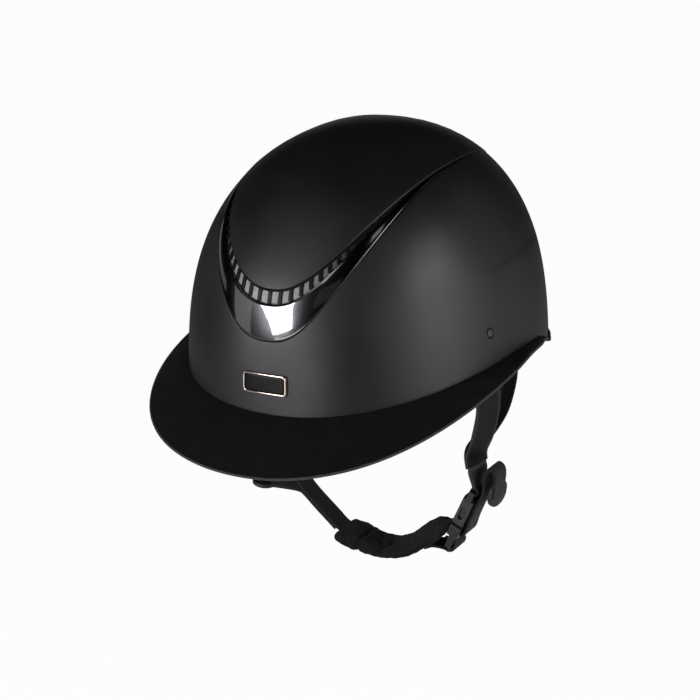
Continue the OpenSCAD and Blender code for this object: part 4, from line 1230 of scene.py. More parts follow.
def badge_face():
    """The bare plate, chamfered where it meets the rim."""
    section = ((0.1, 1.35), (0.4, 1.35), (0.7, 1.35), (0.9, 1.35), (0.95, 1.25), (1, 1.0), (1, 0.4),
               (0.5, 0.4), (0.1, 0.4))
    trimmed = 2 * BADGE_BAR + 0.1
    face = rounded(BADGE_W - trimmed, BADGE_H - trimmed, BADGE_CORNER - BADGE_BAR + 0.5)
    rows = [[on_front(x * f, y * f, out) for x, y in face] for f, out in section]
    return solid("badge_face", rows, "poles")


def build_badge():
    dress(badge_rim(), "badge_metal", "helmet", ["badge_frame"])
    dress(badge_face(), "badge_dark", "helmet", ["badge_plate"])


# Brim and rear strip

def brim_edge(u):
    """The outer edge, which runs back into the shell's wall on both sides."""
    r = np.radians(u)
    q = squareness(u, BRIM_POWER)
    x = BRIM_HALF * q * np.sin(r)
    y = -np.where(np.cos(r) > 0, BRIM_FRONT, BRIM_REAR) * q * np.cos(r)
    wall = at_z(u, rim_z(u), 0)
    keep = 1 - smooth((side(u) - 80) / 42)
    lift = BRIM_RAISE * smooth(side(u) / 30) * smooth((95 - side(u)) / 35)
    z = BRIM_Z + BRIM_PITCH * y + BRIM_ARCH * x * x / 10000 + lift
    z = mix(z, rim_z(u) - 1.2, smooth((side(u) - 80) / 25))
    return np.stack([mix(wall[..., 0], x, keep), mix(wall[..., 1], y, keep), z], -1)


def brim_parts(us):
    """The outer edge, the level direction out to it and the brim's thickness, at each u."""
    edge = brim_edge(us)
    out = edge - at_z(us, rim_z(us) - GAP, SHELL_T / 2)
    out[:, 2] = 0
    out /= np.linalg.norm(out, axis=1, keepdims=True)
    thick = mix(BRIM_T, BRIM_TAIL_T, smooth((side(us) - 85) / 35))[:, None]
    return edge, out, thick


def brim_cover(us):
    """The cloth-covered board: inside the rim, out over the hump, round the edge and back below."""
    edge, out, thick = brim_parts(us)
    z = rim_z(us) - GAP
    wall = at_z(us, z, 0)
    reach = np.linalg.norm(edge[:, :2] - wall[:, :2], axis=1)
    root = at_z(us, z, -0.8 * np.minimum(1, reach / 4))
    inner = at_z(us, z, mix(12, SHELL_T - 0.1, smooth((side(us) - 90) / 16)))
    mid = at_z(us, z, SHELL_T / 2)
    rise = 1.6 * np.minimum(1, np.linalg.norm(edge - mid, axis=1) / 30)[:, None] * UPWARDS
    down = thick * -UPWARDS

    def surface(f):
        return mix(root, edge, f) + rise * (1 - (abs(f - 0.5) / 0.5) ** 2.2)

    lines = [inner, mid, root]
    lines += [surface(f) for f in (0.12, 0.25, 0.4, 0.55, 0.7, 0.82, 0.9)]
    middle = edge + down * 0.5 - out * thick * 0.5
    for a in np.radians((80, 50, 20, 0, -20, -50, -80)):
        lines.append(middle + out * thick * 0.5 * math.cos(a) - down * 0.5 * math.sin(a))
    lines += [surface(f) + down for f in (0.85, 0.7, 0.5, 0.3, 0.12, 0)]
    lines += [mid + down, inner + down]
    return solid("brim_cover", crosswise(lines))


def brim_piping(us):
    """The cord along the edge, which ends before the brim's tails."""
    us = us[np.abs(us) <= BRIM_TAIL - 8]
    edge, out, thick = brim_parts(us)
    return bead("brim_piping", edge - thick * UPWARDS * 0.62 + out * 0.15, PIPING_R)


def build_brim():
    us = np.linspace(-BRIM_TAIL, BRIM_TAIL, 321)
    dress(brim_cover(us), "brim", "helmet", ["brim"])
    dress(brim_piping(us), "piping", "helmet", ["brim_binding"])


def build_rear_strip():
    """A channel over the rim, from one brim tail round the back to the other."""
    us = np.linspace(BRIM_TAIL + 0.8, 360 - BRIM_TAIL - 0.8, 121)
    rim = rim_z(us)
    section = ((4.9, -0.75), (4.75, -1.1), (4.2, -1.4), (0.5, -1.65), (-1.4, -1.65), (-2.0, -1.35),
               (-2.2, -0.8), (-2.2, 2.8), (-1.9, 3.4), (-1.3, 3.6), (-0.35, 3.6), (-0.3, -0.3), (4.6, -0.3))
    strip = solid("rear_strip", crosswise([at_z(us, rim + up, d) for up, d in section]))
    dress(strip, "edge", "helmet", ["rear_edge_trim"])


# Liner, padding and fit

def build_liner():
    """Rings outside from the top down to the rim, then inside from the rim up."""
    cols = LINER_COLS
    rim = liner_rim(cols)
    rows = [at_s(cols, s, LINER_OUT) for s in DOME_RINGS]
    rows += [at_z(cols, mix(rim_z(cols), WALL_TOP, f), LINER_OUT) for f in (1, 0.75, 0.5, 0.25)]
    rows += [at_z(cols, rim + up, LINER_OUT + d) for up, d in ((0.8, 0), (0.2, 0.3), (0, 0.9))]
    for up, d in ((0, 7), (0.5, 5), (1.8, 2.9), (3.6, 1.2), (6.5, 0)):
        rows.append(at_z(cols, rim + up, LINER_IN - d))
    rows += [at_z(cols, z, LINER_IN) for z in (0, 14, 28, 40)]
    rows += [at_s(cols, s, LINER_IN) for s in (0.86, 0.78, 0.68, 0.56, 0.42, 0.28, 0.14, 0.05)]
    dress(solid("liner_foam", rows, "poles"), "foam", "helmet", ["impact_liner"])


def forehead_cushion():
    """A strip on the liner's wall, thin at its ends, with a seam along its middle."""
    reach = 61.5
    top = 5.6
    us = np.linspace(-reach, reach, 61)
    bottom = rim_z(us) + 7.4
    thick = mix(1.5, 4.4, smooth((reach - np.abs(us)) / 8))
    section = ((0.02, 0), (0.25, 0), (0.5, 0), (0.75, 0), (0.98, 0), (1.0, 0.35), (0.9, 0.8), (0.7, 0.97),
               (0.5, 1), (0.3, 0.97), (0.1, 0.8), (0, 0.35))
    out = LINER_IN + 1.2
    lines = [at_z(us, bottom + (top - bottom) * f, out + thick * d) for f, d in section]
    piece = solid("forehead_cushion", crosswise(lines))
    plump(piece, voxel=0.0042, cap=0.0012)

    def seam(points, normals):
        u = np.degrees(np.arctan2(points[:, 0], -points[:, 1]))
        middle = (rim_z(u) + 6.5) / 2 + 0.5
        return -0.9 * groove(points[:, 2] - middle, 1.3) * (points[:, 1] < -40)

    press(piece, seam)
    return piece


def crown_cushion():
    """A flat cushion under the liner's top, with one seam along it and two across."""
    cols = np.arange(0, 360, 4.0)
    reach = 0.6
    out = LINER_IN + 1.5
    section = ((0.2, 0), (0.6, 0), (0.92, 0), (1.0, 0), (1.02, 1.6), (0.99, 3.4), (0.92, 4.3), (0.7, 4.6),
               (0.4, 4.7), (0.15, 4.7))
    piece = solid("crown_cushion", [at_s(cols, f * reach, out + d) for f, d in section], "poles")
    plump(piece, voxel=0.005, cap=0.0012)

    def seams(points, normals):
        return -0.9 * (groove(points[:, 0], 1.5) + groove(np.abs(points[:, 1]) - 22, 1.5))

    press(piece, seams)
    return piece


def nape_cushion():
    """A strip inside the cradle, with one seam along it and two across."""
    reach = 35.5
    degrees = np.linspace(-reach, reach, 61)
    a = np.radians(degrees)
    end = smooth((reach - np.abs(degrees)) / 7)
    thick = mix(1.5, 4.5, end)
    half = mix(6.6, 9.6, end)
    section = ((-0.96, 0), (-0.5, 0), (0, 0), (0.5, 0), (0.96, 0), (1, 0.4), (0.88, 0.82), (0.5, 1), (0, 1),
               (-0.5, 1), (-0.88, 0.82), (-1, 0.4))
    lines = []
    for f, d in section:
        r = NAPE_OUT - thick * d
        lines.append(np.stack([-r * np.sin(a), RACK_Y + r * np.cos(a), DIAL_Z + half * f], -1))
    piece = solid("nape_cushion", crosswise(lines))
    plump(piece, voxel=0.0042, cap=0.0009)

    def seams(points, normals):
        return -0.8 * (groove(points[:, 2] - DIAL_Z, 1.2) + groove(np.abs(points[:, 0]) - 18, 1.3))

    press(piece, seams)
    return piece


def build_padding():
    front = forehead_cushion()
    dress(front, "lining", "helmet", ["forehead_pad"])
    crown = crown_cushion()
    dress(crown, "lining", "helmet", ["crown_pad"])
    nape = nape_cushion()
    dress(nape, "lining", "helmet", ["nape_pad"])


def build_fit():
    repaint(["nape_cradle"], "cradle", 0.3)
    repaint(["rack_left", "rack_right"], "cradle")
    repaint(["dial_housing", "fit_dial"], "fit", 0.35)
    repaint(["housing_screws", "rivet_washers"], "steel")
    repaint(["side_rivets", "anchor_studs"], "lacquer")


# Harness

def leg_top(u, z):
    """A leg's top inside the helmet: three points up to it along the wall, and their turn."""
    n = normal_at(u, z, 0.0)
    rise = np.cross(n, [-n[1], n[0], 0])
    rise /= np.linalg.norm(rise)
    top = at_z(u, z, 0.0) - n * LEG_DEPTH
    return [top + rise * 9, top, top - rise * 8], [math.degrees(math.atan2(n[1], n[0]))] * 3


def by_foot(h, y, z):
    """A point h out and y back from the neck's middle, along the feet's turn."""
    a = math.radians(FOOT_TURN)
    return [JOINT[0] + h * math.cos(a) - y * math.sin(a), JOINT[1] + h * math.sin(a) + y * math.cos(a), z]


def near_legs():
    """For each leg of the near side: its points from the top down, their turns, its widths and its finish."""
    top, turns = leg_top(77.5, 15.1)
    front = [*top, at_z(81.0, -8.0, LEG_DEPTH + 0.6), [81.4, 0, -20], [82.8, 9, -38], [82, 13, -55.5],
             [77.4, 12, -77], by_foot(FOOT_OUT + 0.9, -3.4, FOOT_Z + 8),
             by_foot(FOOT_OUT + 0.05, -2.5, FOOT_Z)]
    front_turns = [*turns, -9, -14, -20, -21, -21, FOOT_TURN, FOOT_TURN]
    top, turns = leg_top(114.0, 8.0)
    rear = [*top, at_z(116.0, -13.0, LEG_DEPTH + 0.8), at_z(117.0, -28.0, LEG_DEPTH + 0.4), [79.8, 50.5, -41],
            [78.6, 42, -61.8], [74.3, 28, -76], by_foot(-FOOT_OUT - 0.7, 2, FOOT_Z + 9),
            by_foot(-FOOT_OUT - 0.05, 0.5, FOOT_Z)]
    rear_turns = [*turns, 12, 8, -2, -8, -14, FOOT_TURN, FOOT_TURN]
    return {
        "front": (np.array(front, float), front_turns, FRONT_LEG_W, "leather"),
        # The rear legs take the shaded copy of the leather, a painted shade
        "rear": (np.array(rear, float), rear_turns, REAR_LEG_W, "inner_leather"),
    }


def stitches(name, points, turns, widths, face):
    """Two rows of short threads on one face of a leg, near its edges."""
    path, w, q, run = strap_frame(points, turns, LEG_STEPS)

    def at_length(s, values):
        return np.array([np.interp(s, run, values[:, k]) for k in range(3)])

    places = []
    for s in np.arange(run[-1] * 0.16, run[-1] - 3, STITCH_PITCH):
        middle = at_length(s, path)
        across = at_length(s, w)
        ahead = at_length(s + 0.5, path) - middle
        out = at_length(s, q) * face * LEG_T / 2
        half = mix(*widths, s / run[-1]) / 2 - STITCH_INSET
        for k in (-1, 1):
            places.append((middle + across * half * k + out, axes_from(ahead, across), STITCH_SIZE))
    return spread(name, unit_block("stitch_template", 0.3), places, finish("thread"))


def far_leg(points, turns, widths, look):
    """The mirror image of a near leg."""
    return points * np.array([-1, 1, 1]), [180 - t for t in turns], widths, look


def build_legs():
    near = near_legs()
    far = {key: far_leg(*leg) for key, leg in near.items()}
    for name, legs in (("near", near), ("far", far)):
        for key, (points, turns, widths, look) in legs.items():
            piece = strap(f"{name}_{key}_strap", points, widths, LEG_T, turns, n=LEG_STEPS, edge=0.7,
                          from_edge=True)
            dress(piece, look, "helmet", [f"{name}_{key}_leg"])
        for key, (points, turns, widths, look) in legs.items():
            for label, face in (("out", 1), ("in", -1)):
                row = stitches(f"{name}_{key}_stitches_{label}", points, turns, widths, face)
                dress(row, "thread", "helmet", ())


def ring_sleeve(x):
    """The fold round the bar, open through the middle."""
    half = 6.5
    section = [(3.35, -half + 0.4), (3.35, 0), (3.35, half - 0.4), (3.0, half), (2.3, half),
               (1.95, half - 0.3), (1.95, -half + 0.3), (2.3, -half), (3.0, -half)]
    middle = np.array([x, JOINT[1], JOINT[2]])
    rows = []
    for a in np.radians(np.arange(0, 360, 12)):
        rows.append([middle + np.array([r * math.cos(a), y, r * math.sin(a)]) for r, y in section])
    return solid("sleeve", rows, "ring")


def tongue(x):
    """The leather that runs up from the fold, turning towards the legs' feet and thinning between them."""
    top = FOOT_Z + 5.5 - JOINT[2]
    rows = []
    for z in np.linspace(2.6, top, 34):
        a = math.radians(FOOT_TURN) * float(smooth((z - 1.9) / 12))
        w = mix(12, 16, float(smooth(z / 16))) / 2
        t = mix(1.7, TONGUE_T / 2, float(smooth((z - 16.2) / 1.8)))
        one_face = [(t, -w + 0.5), (t, 0), (t, w - 0.5), (t * 0.7, w - 0.12), (0, w), (-t * 0.7, w - 0.12)]
        ring = one_face + [(-p, -q) for p, q in one_face]
        row = []
        for p, q in ring:
            out = JOINT[0] + p * math.cos(a) - q * math.sin(a)
            row.append([math.copysign(out, x), JOINT[1] + p * math.sin(a) + q * math.cos(a), JOINT[2] + z])
        rows.append(row)
    return solid("tongue", rows)


def build_necks():
    for name, x in (("near", JOINT[0]), ("far", -JOINT[0])):
        piece = join(name + "_neck_fold", [ring_sleeve(x), tongue(x)])
        piece.data.materials.append(finish("leather"))
        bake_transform(piece)
        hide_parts(name + "_neck")


def build_buckle():
    repaint(["buckle_socket", "buckle_plug"], "buckle", 0.5)
    repaint(["far_slider"], "buckle")


def in_buckle(h, v):
    """A point h out from the buckle's middle and v along it, from the near joint."""
    c = math.cos(BUCKLE_LEAN)
    s = math.sin(BUCKLE_LEAN)
    return [JOINT[0] + h * c + v * s, JOINT[1], JOINT[2] - h * s + v * c]


def by_joint(h, v):
    """A point h out from the near joint and v above it."""
    return [JOINT[0] + h, JOINT[1], JOINT[2] + v]


def near_loop():
    """From the plug's bar up past the buckle, over, and down to the end tab."""
    beside = [(0, -35), (4.3, -34.9), (6.4, -31), (5.8, -22), (5.7, -9)]
    above = [(7.0, -1), (8.3, 7.5), (9.6, 15.0), (12.8, 19.2), (16.2, 17.2), (17.0, 12.2), (15.9, 5.5),
             (14.6, -2)]
    points = [in_buckle(h, v) for h, v in beside] + [by_joint(h, v) for h, v in above]
    return strap("near_loop", points, WEBBING_W, LOOP_T, edge=0.6)


def near_wrap():
    """Round the plug's bar and on to the chin pad."""
    beside = [(-1.6, -42.8), (1.6, -42.9), (3.8, -44.8), (4.1, -48), (2.2, -51), (-2, -52)]
    points = [in_buckle(h, v) for h, v in beside] + [[43.2, 16, -163.4], [37.5, 15, -163.4], [32, 15, -166]]
    return strap("near_wrap", points, WEBBING_W, WEBBING_T)


FAR_RUN = [[-38.8, 15, -163.4], [-46, 15.5, -157.4], [-55, 16, -150], [-64, 16.6, -142.2]]


def far_run():
    """From the chin pad up to the slider and over its bar."""
    bar = np.array([-JOINT[0], JOINT[1], JOINT[2] - 9])
    r = BAR_R + GAP + WEBBING_T / 2
    points = [[-31, 15, -167.4], *FAR_RUN, [-70.8, 17.4, -135]]
    for a in np.radians((200, 150, 90, 30, -10)):
        points.append(bar + [r * math.cos(a), 0, r * math.sin(a)])
    points.append(bar + [3.4, 0, -6])
    return strap("far_run", points, WEBBING_W, WEBBING_T)


def far_loose_end():
    """Back along the underside of the far run, then out to the end tab."""
    under = np.array([-0.65, 0, -0.76]) * 2.0
    points = [p + under for p in np.array(FAR_RUN)]
    points += [[-70, 16.6, -141.2], [-81, 16, -140.8], [-94, 15, -141]]
    return strap("far_loose_end", points, WEBBING_W, WEBBING_T)


def build_webbing():
    loop = near_loop()
    loop.data.materials.append(finish("webbing"))
    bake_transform(loop)
    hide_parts("near_tail")
    wrap = near_wrap()
    wrap.data.materials.append(finish("webbing"))
    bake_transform(wrap)
    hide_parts("near_webbing")
    dress(far_run(), "webbing", "chin_strap", ["far_webbing"])
    dress(far_loose_end(), "webbing", "chin_strap", ["far_tail"])


def tab(name, centre, normal, down, width, length):
    """A moulded strap end: a plate with round ends and a raised rim."""
    n = np.asarray(normal, float) / np.linalg.norm(normal)
    d = np.asarray(down, float) - n * np.dot(n, down)
    d /= np.linalg.norm(d)
    across = np.cross(n, d)
    outline = []
    for k in range(48):
        a = 2 * math.pi * k / 48
        y = width / 2 * math.sin(a)
        outline.append((width / 2 * math.cos(a), y + (length - width) / 2 * (1 if y > 0 else -1)))
    section = ((0.1, 0.32), (0.5, 0.32), (0.74, 0.32), (0.8, 0.42), (0.84, 0.5), (0.93, 0.5), (0.98, 0.4),
               (1.0, 0.15), (1.0, -0.15), (0.98, -0.4), (0.93, -0.5), (0.5, -0.5), (0.1, -0.5))
    rows = []
    for f, h in section:
        rows.append([centre + across * x * f + d * y * f + n * TAB_T * h for x, y in outline])
    return solid(name, rows, "poles")


def build_tabs():
    lean = math.radians(10)
    turn = math.radians(-10)
    down = np.array([-math.sin(lean), 0, -math.cos(lean)])
    out = np.array([math.cos(lean) * math.cos(turn), math.sin(turn), -math.sin(lean) * math.cos(turn)])
    length = 20.6
    near = tab("near_tab", np.array(by_joint(16.3, 10.2)) + down * length / 2, out, down, 19.0, length)
    dress(near, "tab", "chin_strap", ["near_end_tab"])
    low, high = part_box("far_end_tab")
    centre = (np.array(low) + np.array(high)) / 2 / MM
    tilt = math.radians(8)
    far = tab("far_tab", centre, (math.sin(tilt), 0, math.cos(tilt)), (-1, 0, math.tan(tilt)), 17.0, 17.6)
    dress(far, "tab", "chin_strap", ["far_end_tab"])


def chin_sleeve():
    """The sleeve before it is plumped: flat ovals along the pad's path, narrower towards the buckle."""
    path = spline(PAD_PATH, 12)
    ring = np.radians(np.arange(0, 360, 12))
    along_y = np.array([0, 1.0, 0])
    rows = []
    for i, (p, h) in enumerate(zip(path, headings(path))):
        f = i / (len(path) - 1)
        q = np.cross(h, along_y)
        end = 0.9 + 0.1 * float(smooth(f * 12))
        narrower = 0.4 * float(smooth((f - 0.78) / 0.22)) ** 2
        thinner = 0.24 * float(smooth((f - 0.6) / 0.2))
        thinnest = 0.06 * float(smooth((f - 0.83) / 0.17))
        w = PAD_W / 2 * 0.97 * (end - narrower)
        t = PAD_T / 2 * 0.9 * (end - thinner - thinnest)
        turn = math.radians(PAD_TURN) * float(smooth((f - 0.25) / 0.4) - smooth((f - 0.78) / 0.22))
        middle = p + q * w * math.sin(turn)
        wide = along_y * math.cos(turn) + q * math.sin(turn)
        thick = q * math.cos(turn) - along_y * math.sin(turn)
        row = []
        for a in ring:
            x = math.copysign(abs(math.cos(a)) ** 0.72, math.cos(a))
            y = math.copysign(abs(math.sin(a)) ** 0.8, math.sin(a))
            row.append(middle + wide * w * x + thick * t * y)
        rows.append(row)
    return solid("chin_sleeve", rows)


def sleeve_folds(points, normals):
    """The cuff at the far end, two creases across the upper side, and a faint ripple."""
    x = points[:, 0]
    y = points[:, 1]
    upper = normals[:, 2] > 0
    cuff = 0.7 * smooth((-19 - x) / 1.5) - 0.9 * groove(x + 18.2, 1.0)
    first = -1.6 * groove(x - 3 - 0.25 * (y - 15), 1.8) * upper * smooth((16 - np.abs(y - 8)) / 8)
    second = -0.6 * groove(x + 6 + 0.5 * (y - 15), 2.4) * upper
    ripple = 0.22 * np.sin(x * 0.9 + y * 0.35) * np.sin(y * 0.5 - x * 0.2)
    return cuff + first + second + ripple


def build_chin_pad():
    pad = chin_sleeve()
    plump(pad, voxel=0.003, cap=0.0012)
    press(pad, sleeve_folds)
    dress(pad, "fleece", "chin_strap", ["chin_pad"])


# Stage

FLOOR_HALF = 6.0
FLOOR_Z = -0.42
LAMP_AIM = Vector((0, 0, 0.02))

# Each lamp: degrees round from the front, degrees up, distance, width, height, watts and roll in degrees
LAMPS = {
    "key_box": (-23, 11, 1.35, 0.31, 0.47, 9.8, 20),
    "side_box": (96, 9, 1.6, 0.9, 1.2, 16, 0),
    "side_front": (62, 6, 1.8, 0.6, 1.4, 1.8, 0),
    "low_front": (-10, -10, 1.7, 0.9, 0.5, 5.2, 0),
    "high_front": (-17, 44, 1.7, 0.8, 0.5, 2.7, 0),
    "front_fill": (14, 22, 1.8, 0.9, 0.45, 0.14, 0),
    "left_strip": (-45, 6, 1.9, 0.5, 0.8, 0.95, 0),
    "left_wash": (-88, 8, 1.9, 1.5, 0.22, 0.4, 0),
    "rear_box": (140, 5, 1.9, 0.8, 1.4, 0.8, 0),
    "high_side": (68, 51, 1.8, 0.4, 0.4, 0.5, 0),
}

# The camera fitted to the photo: the frame, focal length and shift in pixels, then its place
FRAME_PX = 700
FOCAL_PX = 2206.8
SHIFT_X_PX = -21.18
SHIFT_Y_PX = 23.34
SENSOR = 36.0
CAMERA_AIM = Vector((0, 0, -0.038))
CAMERA_DISTANCE = 1.4992
CAMERA_RIGHT = Vector((0.8659, 0.4982, -0.0445))
CAMERA_BACK = Vector((0.4804, -0.8036, 0.3515))


def add_floor():
    mesh = bpy.data.meshes.new("floor")
    corners = [(-1, -1), (1, -1), (1, 1), (-1, 1)]
    mesh.from_pydata([(x * FLOOR_HALF, y * FLOOR_HALF, FLOOR_Z) for x, y in corners], [], [(0, 1, 2, 3)])
    floor = bpy.data.objects.new("floor", mesh)
    bpy.context.collection.objects.link(floor)
    mesh.materials.append(finish("floor"))


def background(tree, colour, strength):
    node = tree.nodes.new("ShaderNodeBackground")
    feed(tree, colour, node.inputs["Color"])
    node.inputs["Strength"].default_value = strength
    return node.outputs[0]


def choose(tree, mask, a, b):
    """The shader a where the mask is 0, and b where it is 1."""
    node = tree.nodes.new("ShaderNodeMixShader")
    for i, output in enumerate((mask, a, b)):
        tree.links.new(output, node.inputs[i])
    return node.outputs[0]


def add_world():
    """White to the camera, a faint fill for the surfaces, and a dark studio in their reflections."""
    world = bpy.data.worlds.new("studio")
    world.use_nodes = True
    tree = world.node_tree
    tree.nodes.clear()
    # The reflections hold a white sweep behind the helmet
    facing = tree.nodes.new("ShaderNodeVectorMath")
    facing.operation = "DOT_PRODUCT"
    facing.inputs[1].default_value = (-0.48, 0.80, -0.35)
    tree.links.new(tree.nodes.new("ShaderNodeTexCoord").outputs["Generated"], facing.inputs[0])
    sweep = ramp(tree, facing.outputs["Value"], 0.84, 0.99)
    shade = blend_colours(tree, sweep, (0.004, 0.004, 0.005), (0.9, 0.9, 0.92))
    ray = tree.nodes.new("ShaderNodeLightPath").outputs
    seen = calc(tree, "MAXIMUM", ray["Is Camera Ray"], ray["Is Transmission Ray"])
    fill = background(tree, (0.95, 0.97, 1.0), 0.05)
    lit = choose(tree, ray["Is Glossy Ray"], fill, background(tree, shade, 1.0))
    both = choose(tree, seen, lit, background(tree, (1, 1, 1), 1.0))
    tree.links.new(both, tree.nodes.new("ShaderNodeOutputWorld").inputs["Surface"])
    bpy.context.scene.world = world


def add_lamp(name, azimuth, elevation, distance, width, height, watts, roll):
    data = bpy.data.lights.new(name, "AREA")
    data.shape = "RECTANGLE"
    data.size = width
    data.size_y = height
    data.energy = watts
    thing = bpy.data.objects.new(name, data)
    a = math.radians(azimuth)
    e = math.radians(elevation)
    way = Vector((math.sin(a) * math.cos(e), -math.cos(a) * math.cos(e), math.sin(e)))
    thing.location = LAMP_AIM + way * distance
    facing = (thing.location - LAMP_AIM).to_track_quat("Z", "Y").to_matrix()
    thing.rotation_euler = (facing @ Matrix.Rotation(math.radians(roll), 3, "Z")).to_euler()
    bpy.context.collection.objects.link(thing)


def add_camera():
    data = bpy.data.cameras.new("camera")
    data.sensor_width = SENSOR
    data.sensor_fit = "HORIZONTAL"
    data.lens = FOCAL_PX * SENSOR / FRAME_PX
    data.shift_x = SHIFT_X_PX / FRAME_PX
    data.shift_y = SHIFT_Y_PX / FRAME_PX
    data.clip_start = 0.05
    data.clip_end = 30
    camera = bpy.data.objects.new("camera", data)
    bpy.context.collection.objects.link(camera)
    back = CAMERA_BACK.normalized()
    right = (CAMERA_RIGHT - back * CAMERA_RIGHT.dot(back)).normalized()
    turn = Matrix((right, back.cross(right), back)).transposed()
    camera.matrix_world = Matrix.Translation(CAMERA_AIM + back * CAMERA_DISTANCE) @ turn.to_4x4()
    bpy.context.scene.camera = camera


def build_stage():
    add_floor()
    add_world()
    for name, values in LAMPS.items():
        add_lamp(name, *values)
    add_camera()
    bpy.context.scene.view_settings.view_transform = "Standard"


# Add-on

class HelmetSizes(bpy.types.PropertyGroup):
    trim_bulge: FloatProperty(name="Trim bulge", description="How far the glossy crescent stands proud",
                              default=0.0009, min=0.0004, max=0.0014, unit="LENGTH")
    rib_pitch: FloatProperty(name="Rib pitch", description="Distance from rib to rib along the vent",
                             default=0.0075, min=0.006, max=0.0076, unit="LENGTH")
    rib_width: FloatProperty(name="Rib width", description="Thickness of a rib",
                             default=0.0026, min=0.0016, max=0.003, unit="LENGTH")
    side_ribs: IntProperty(name="Side ribs", description="Ribs on each side of the middle one",
                           default=12, min=9, max=13)


class HelmetColours(bpy.types.PropertyGroup):
    shell: FloatVectorProperty(name="Shell", description="Colour of the shell and the crown panel",
                               default=(0.0065, 0.0062, 0.0068), min=0, max=1, subtype="COLOR")
    brim: FloatVectorProperty(name="Brim", description="Colour of the brim's cloth",
                              default=(0.0042, 0.0040, 0.0046), min=0, max=1, subtype="COLOR")
    trim: FloatVectorProperty(name="Trim", description="Colour of the glossy crescent",
                              default=(0.04, 0.041, 0.044), min=0, max=1, subtype="COLOR")
    leather: FloatVectorProperty(name="Leather", description="Colour of the harness",
                                 default=(0.0045, 0.0044, 0.0050), min=0, max=1, subtype="COLOR")
    pad: FloatVectorProperty(name="Chin pad", description="Colour of the chin pad's fleece",
                             default=(0.0045, 0.0044, 0.0049), min=0, max=1, subtype="COLOR")


class HELMET_OT_stage(bpy.types.Operator):
    """Sets the floor, the world, the lamps and the camera"""
    bl_idname = "helmet.stage"
    bl_label = "Stage"

    def execute(self, context):
        build_stage()
        return {"FINISHED"}


class HELMET_OT_shell(bpy.types.Operator):
    """Builds the soft-touch shell with its sunk seat"""
    bl_idname = "helmet.shell"
    bl_label = "Shell"

    def execute(self, context):
        build_shell()
        return {"FINISHED"}


class HELMET_OT_panel(bpy.types.Operator):
    """Builds the crown panel that lies in the seat"""
    bl_idname = "helmet.panel"
    bl_label = "Crown panel"

    def execute(self, context):
        build_panel()
        return {"FINISHED"}


class HELMET_OT_trim(bpy.types.Operator):
    """Builds the glossy crescent below the vent"""
    bl_idname = "helmet.trim"
    bl_label = "Front trim"

    def execute(self, context):
        build_trim()
        return {"FINISHED"}


class HELMET_OT_vent(bpy.types.Operator):
    """Builds the mesh screen and its ribs"""
    bl_idname = "helmet.vent"
    bl_label = "Vent"

    def execute(self, context):
        build_vent()
        return {"FINISHED"}


class HELMET_OT_badge(bpy.types.Operator):
    """Builds the bare plate and its rim"""
    bl_idname = "helmet.badge"
    bl_label = "Badge"

    def execute(self, context):
        build_badge()
        return {"FINISHED"}


class HELMET_OT_brim(bpy.types.Operator):
    """Builds the cloth-covered brim and its piping"""
    bl_idname = "helmet.brim"
    bl_label = "Brim"

    def execute(self, context):
        build_brim()
        return {"FINISHED"}


class HELMET_OT_rear_strip(bpy.types.Operator):
    """Builds the strip over the shell's rear rim"""
    bl_idname = "helmet.rear_strip"
    bl_label = "Rear strip"

    def execute(self, context):
        build_rear_strip()
        return {"FINISHED"}


class HELMET_OT_liner(bpy.types.Operator):
    """Builds the impact liner"""
    bl_idname = "helmet.liner"
    bl_label = "Liner"

    def execute(self, context):
        build_liner()
        return {"FINISHED"}


class HELMET_OT_padding(bpy.types.Operator):
    """Builds the forehead, crown and nape cushions"""
    bl_idname = "helmet.padding"
    bl_label = "Padding"

    def execute(self, context):
        build_padding()
        return {"FINISHED"}


class HELMET_OT_fit(bpy.types.Operator):
    """Finishes the dial, its racks, the cradle and the fixings"""
    bl_idname = "helmet.fit"
    bl_label = "Fit dial"

    def execute(self, context):
        build_fit()
        return {"FINISHED"}


class HELMET_OT_legs(bpy.types.Operator):
    """Builds the four leather legs and their stitches"""
    bl_idname = "helmet.legs"
    bl_label = "Leather legs"

    def execute(self, context):
        build_legs()
        return {"FINISHED"}


class HELMET_OT_necks(bpy.types.Operator):
    """Builds the two leather folds that hold the strap"""
    bl_idname = "helmet.necks"
    bl_label = "Necks"

    def execute(self, context):
        build_necks()
        return {"FINISHED"}


class HELMET_OT_buckle(bpy.types.Operator):
    """Finishes the buckle and the slider"""
    bl_idname = "helmet.buckle"
    bl_label = "Buckle"

    def execute(self, context):
        build_buckle()
        return {"FINISHED"}


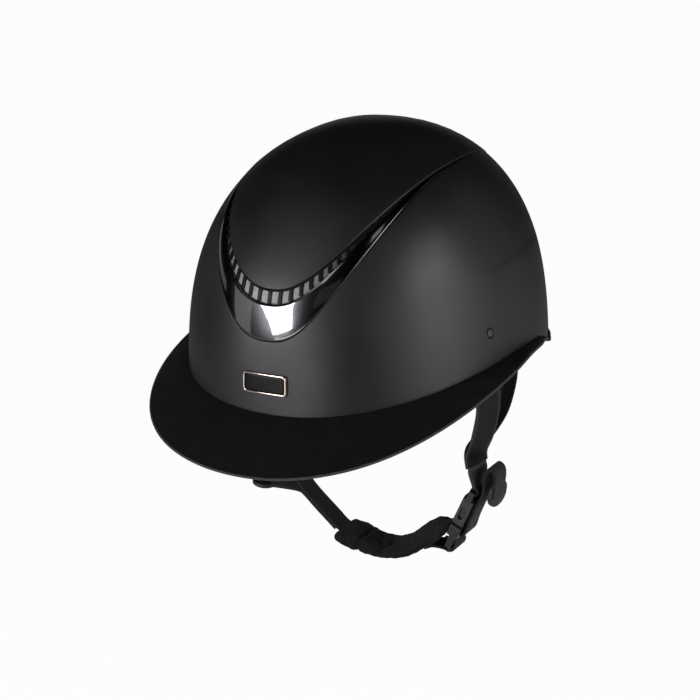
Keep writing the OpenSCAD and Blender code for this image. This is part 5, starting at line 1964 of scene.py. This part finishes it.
class HELMET_OT_webbing(bpy.types.Operator):
    """Builds the woven straps"""
    bl_idname = "helmet.webbing"
    bl_label = "Webbing"

    def execute(self, context):
        build_webbing()
        return {"FINISHED"}


class HELMET_OT_tabs(bpy.types.Operator):
    """Builds the two moulded strap ends"""
    bl_idname = "helmet.tabs"
    bl_label = "End tabs"

    def execute(self, context):
        build_tabs()
        return {"FINISHED"}


class HELMET_OT_chin_pad(bpy.types.Operator):
    """Builds the fleece sleeve"""
    bl_idname = "helmet.chin_pad"
    bl_label = "Chin pad"

    def execute(self, context):
        build_chin_pad()
        return {"FINISHED"}


OPERATORS = [
    HELMET_OT_stage,
    HELMET_OT_shell,
    HELMET_OT_panel,
    HELMET_OT_trim,
    HELMET_OT_vent,
    HELMET_OT_badge,
    HELMET_OT_brim,
    HELMET_OT_rear_strip,
    HELMET_OT_liner,
    HELMET_OT_padding,
    HELMET_OT_fit,
    HELMET_OT_legs,
    HELMET_OT_necks,
    HELMET_OT_buckle,
    HELMET_OT_webbing,
    HELMET_OT_tabs,
    HELMET_OT_chin_pad,
]


class HELMET_PT_sidebar(bpy.types.Panel):
    """Lists the helmet's settings and pieces"""
    bl_idname = "HELMET_PT_sidebar"
    bl_label = "Riding helmet"
    bl_space_type = "VIEW_3D"
    bl_region_type = "UI"
    bl_category = "Helmet"

    def draw(self, context):
        for settings in (context.scene.helmet_sizes, context.scene.helmet_colours):
            for key in settings.__annotations__:
                self.layout.prop(settings, key)
        for kind in OPERATORS:
            self.layout.operator(kind.bl_idname)


CLASSES = [HelmetSizes, HelmetColours, *OPERATORS, HELMET_PT_sidebar]


def register():
    for kind in CLASSES:
        bpy.utils.register_class(kind)
    bpy.types.Scene.helmet_sizes = PointerProperty(type=HelmetSizes)
    bpy.types.Scene.helmet_colours = PointerProperty(type=HelmetColours)


def unregister():
    del bpy.types.Scene.helmet_sizes
    del bpy.types.Scene.helmet_colours
    for kind in reversed(CLASSES):
        bpy.utils.unregister_class(kind)


def main():
    register()
    for kind in OPERATORS:
        family, key = kind.bl_idname.split(".")
        getattr(getattr(bpy.ops, family), key)()


if __name__ == "__main__":
    main()
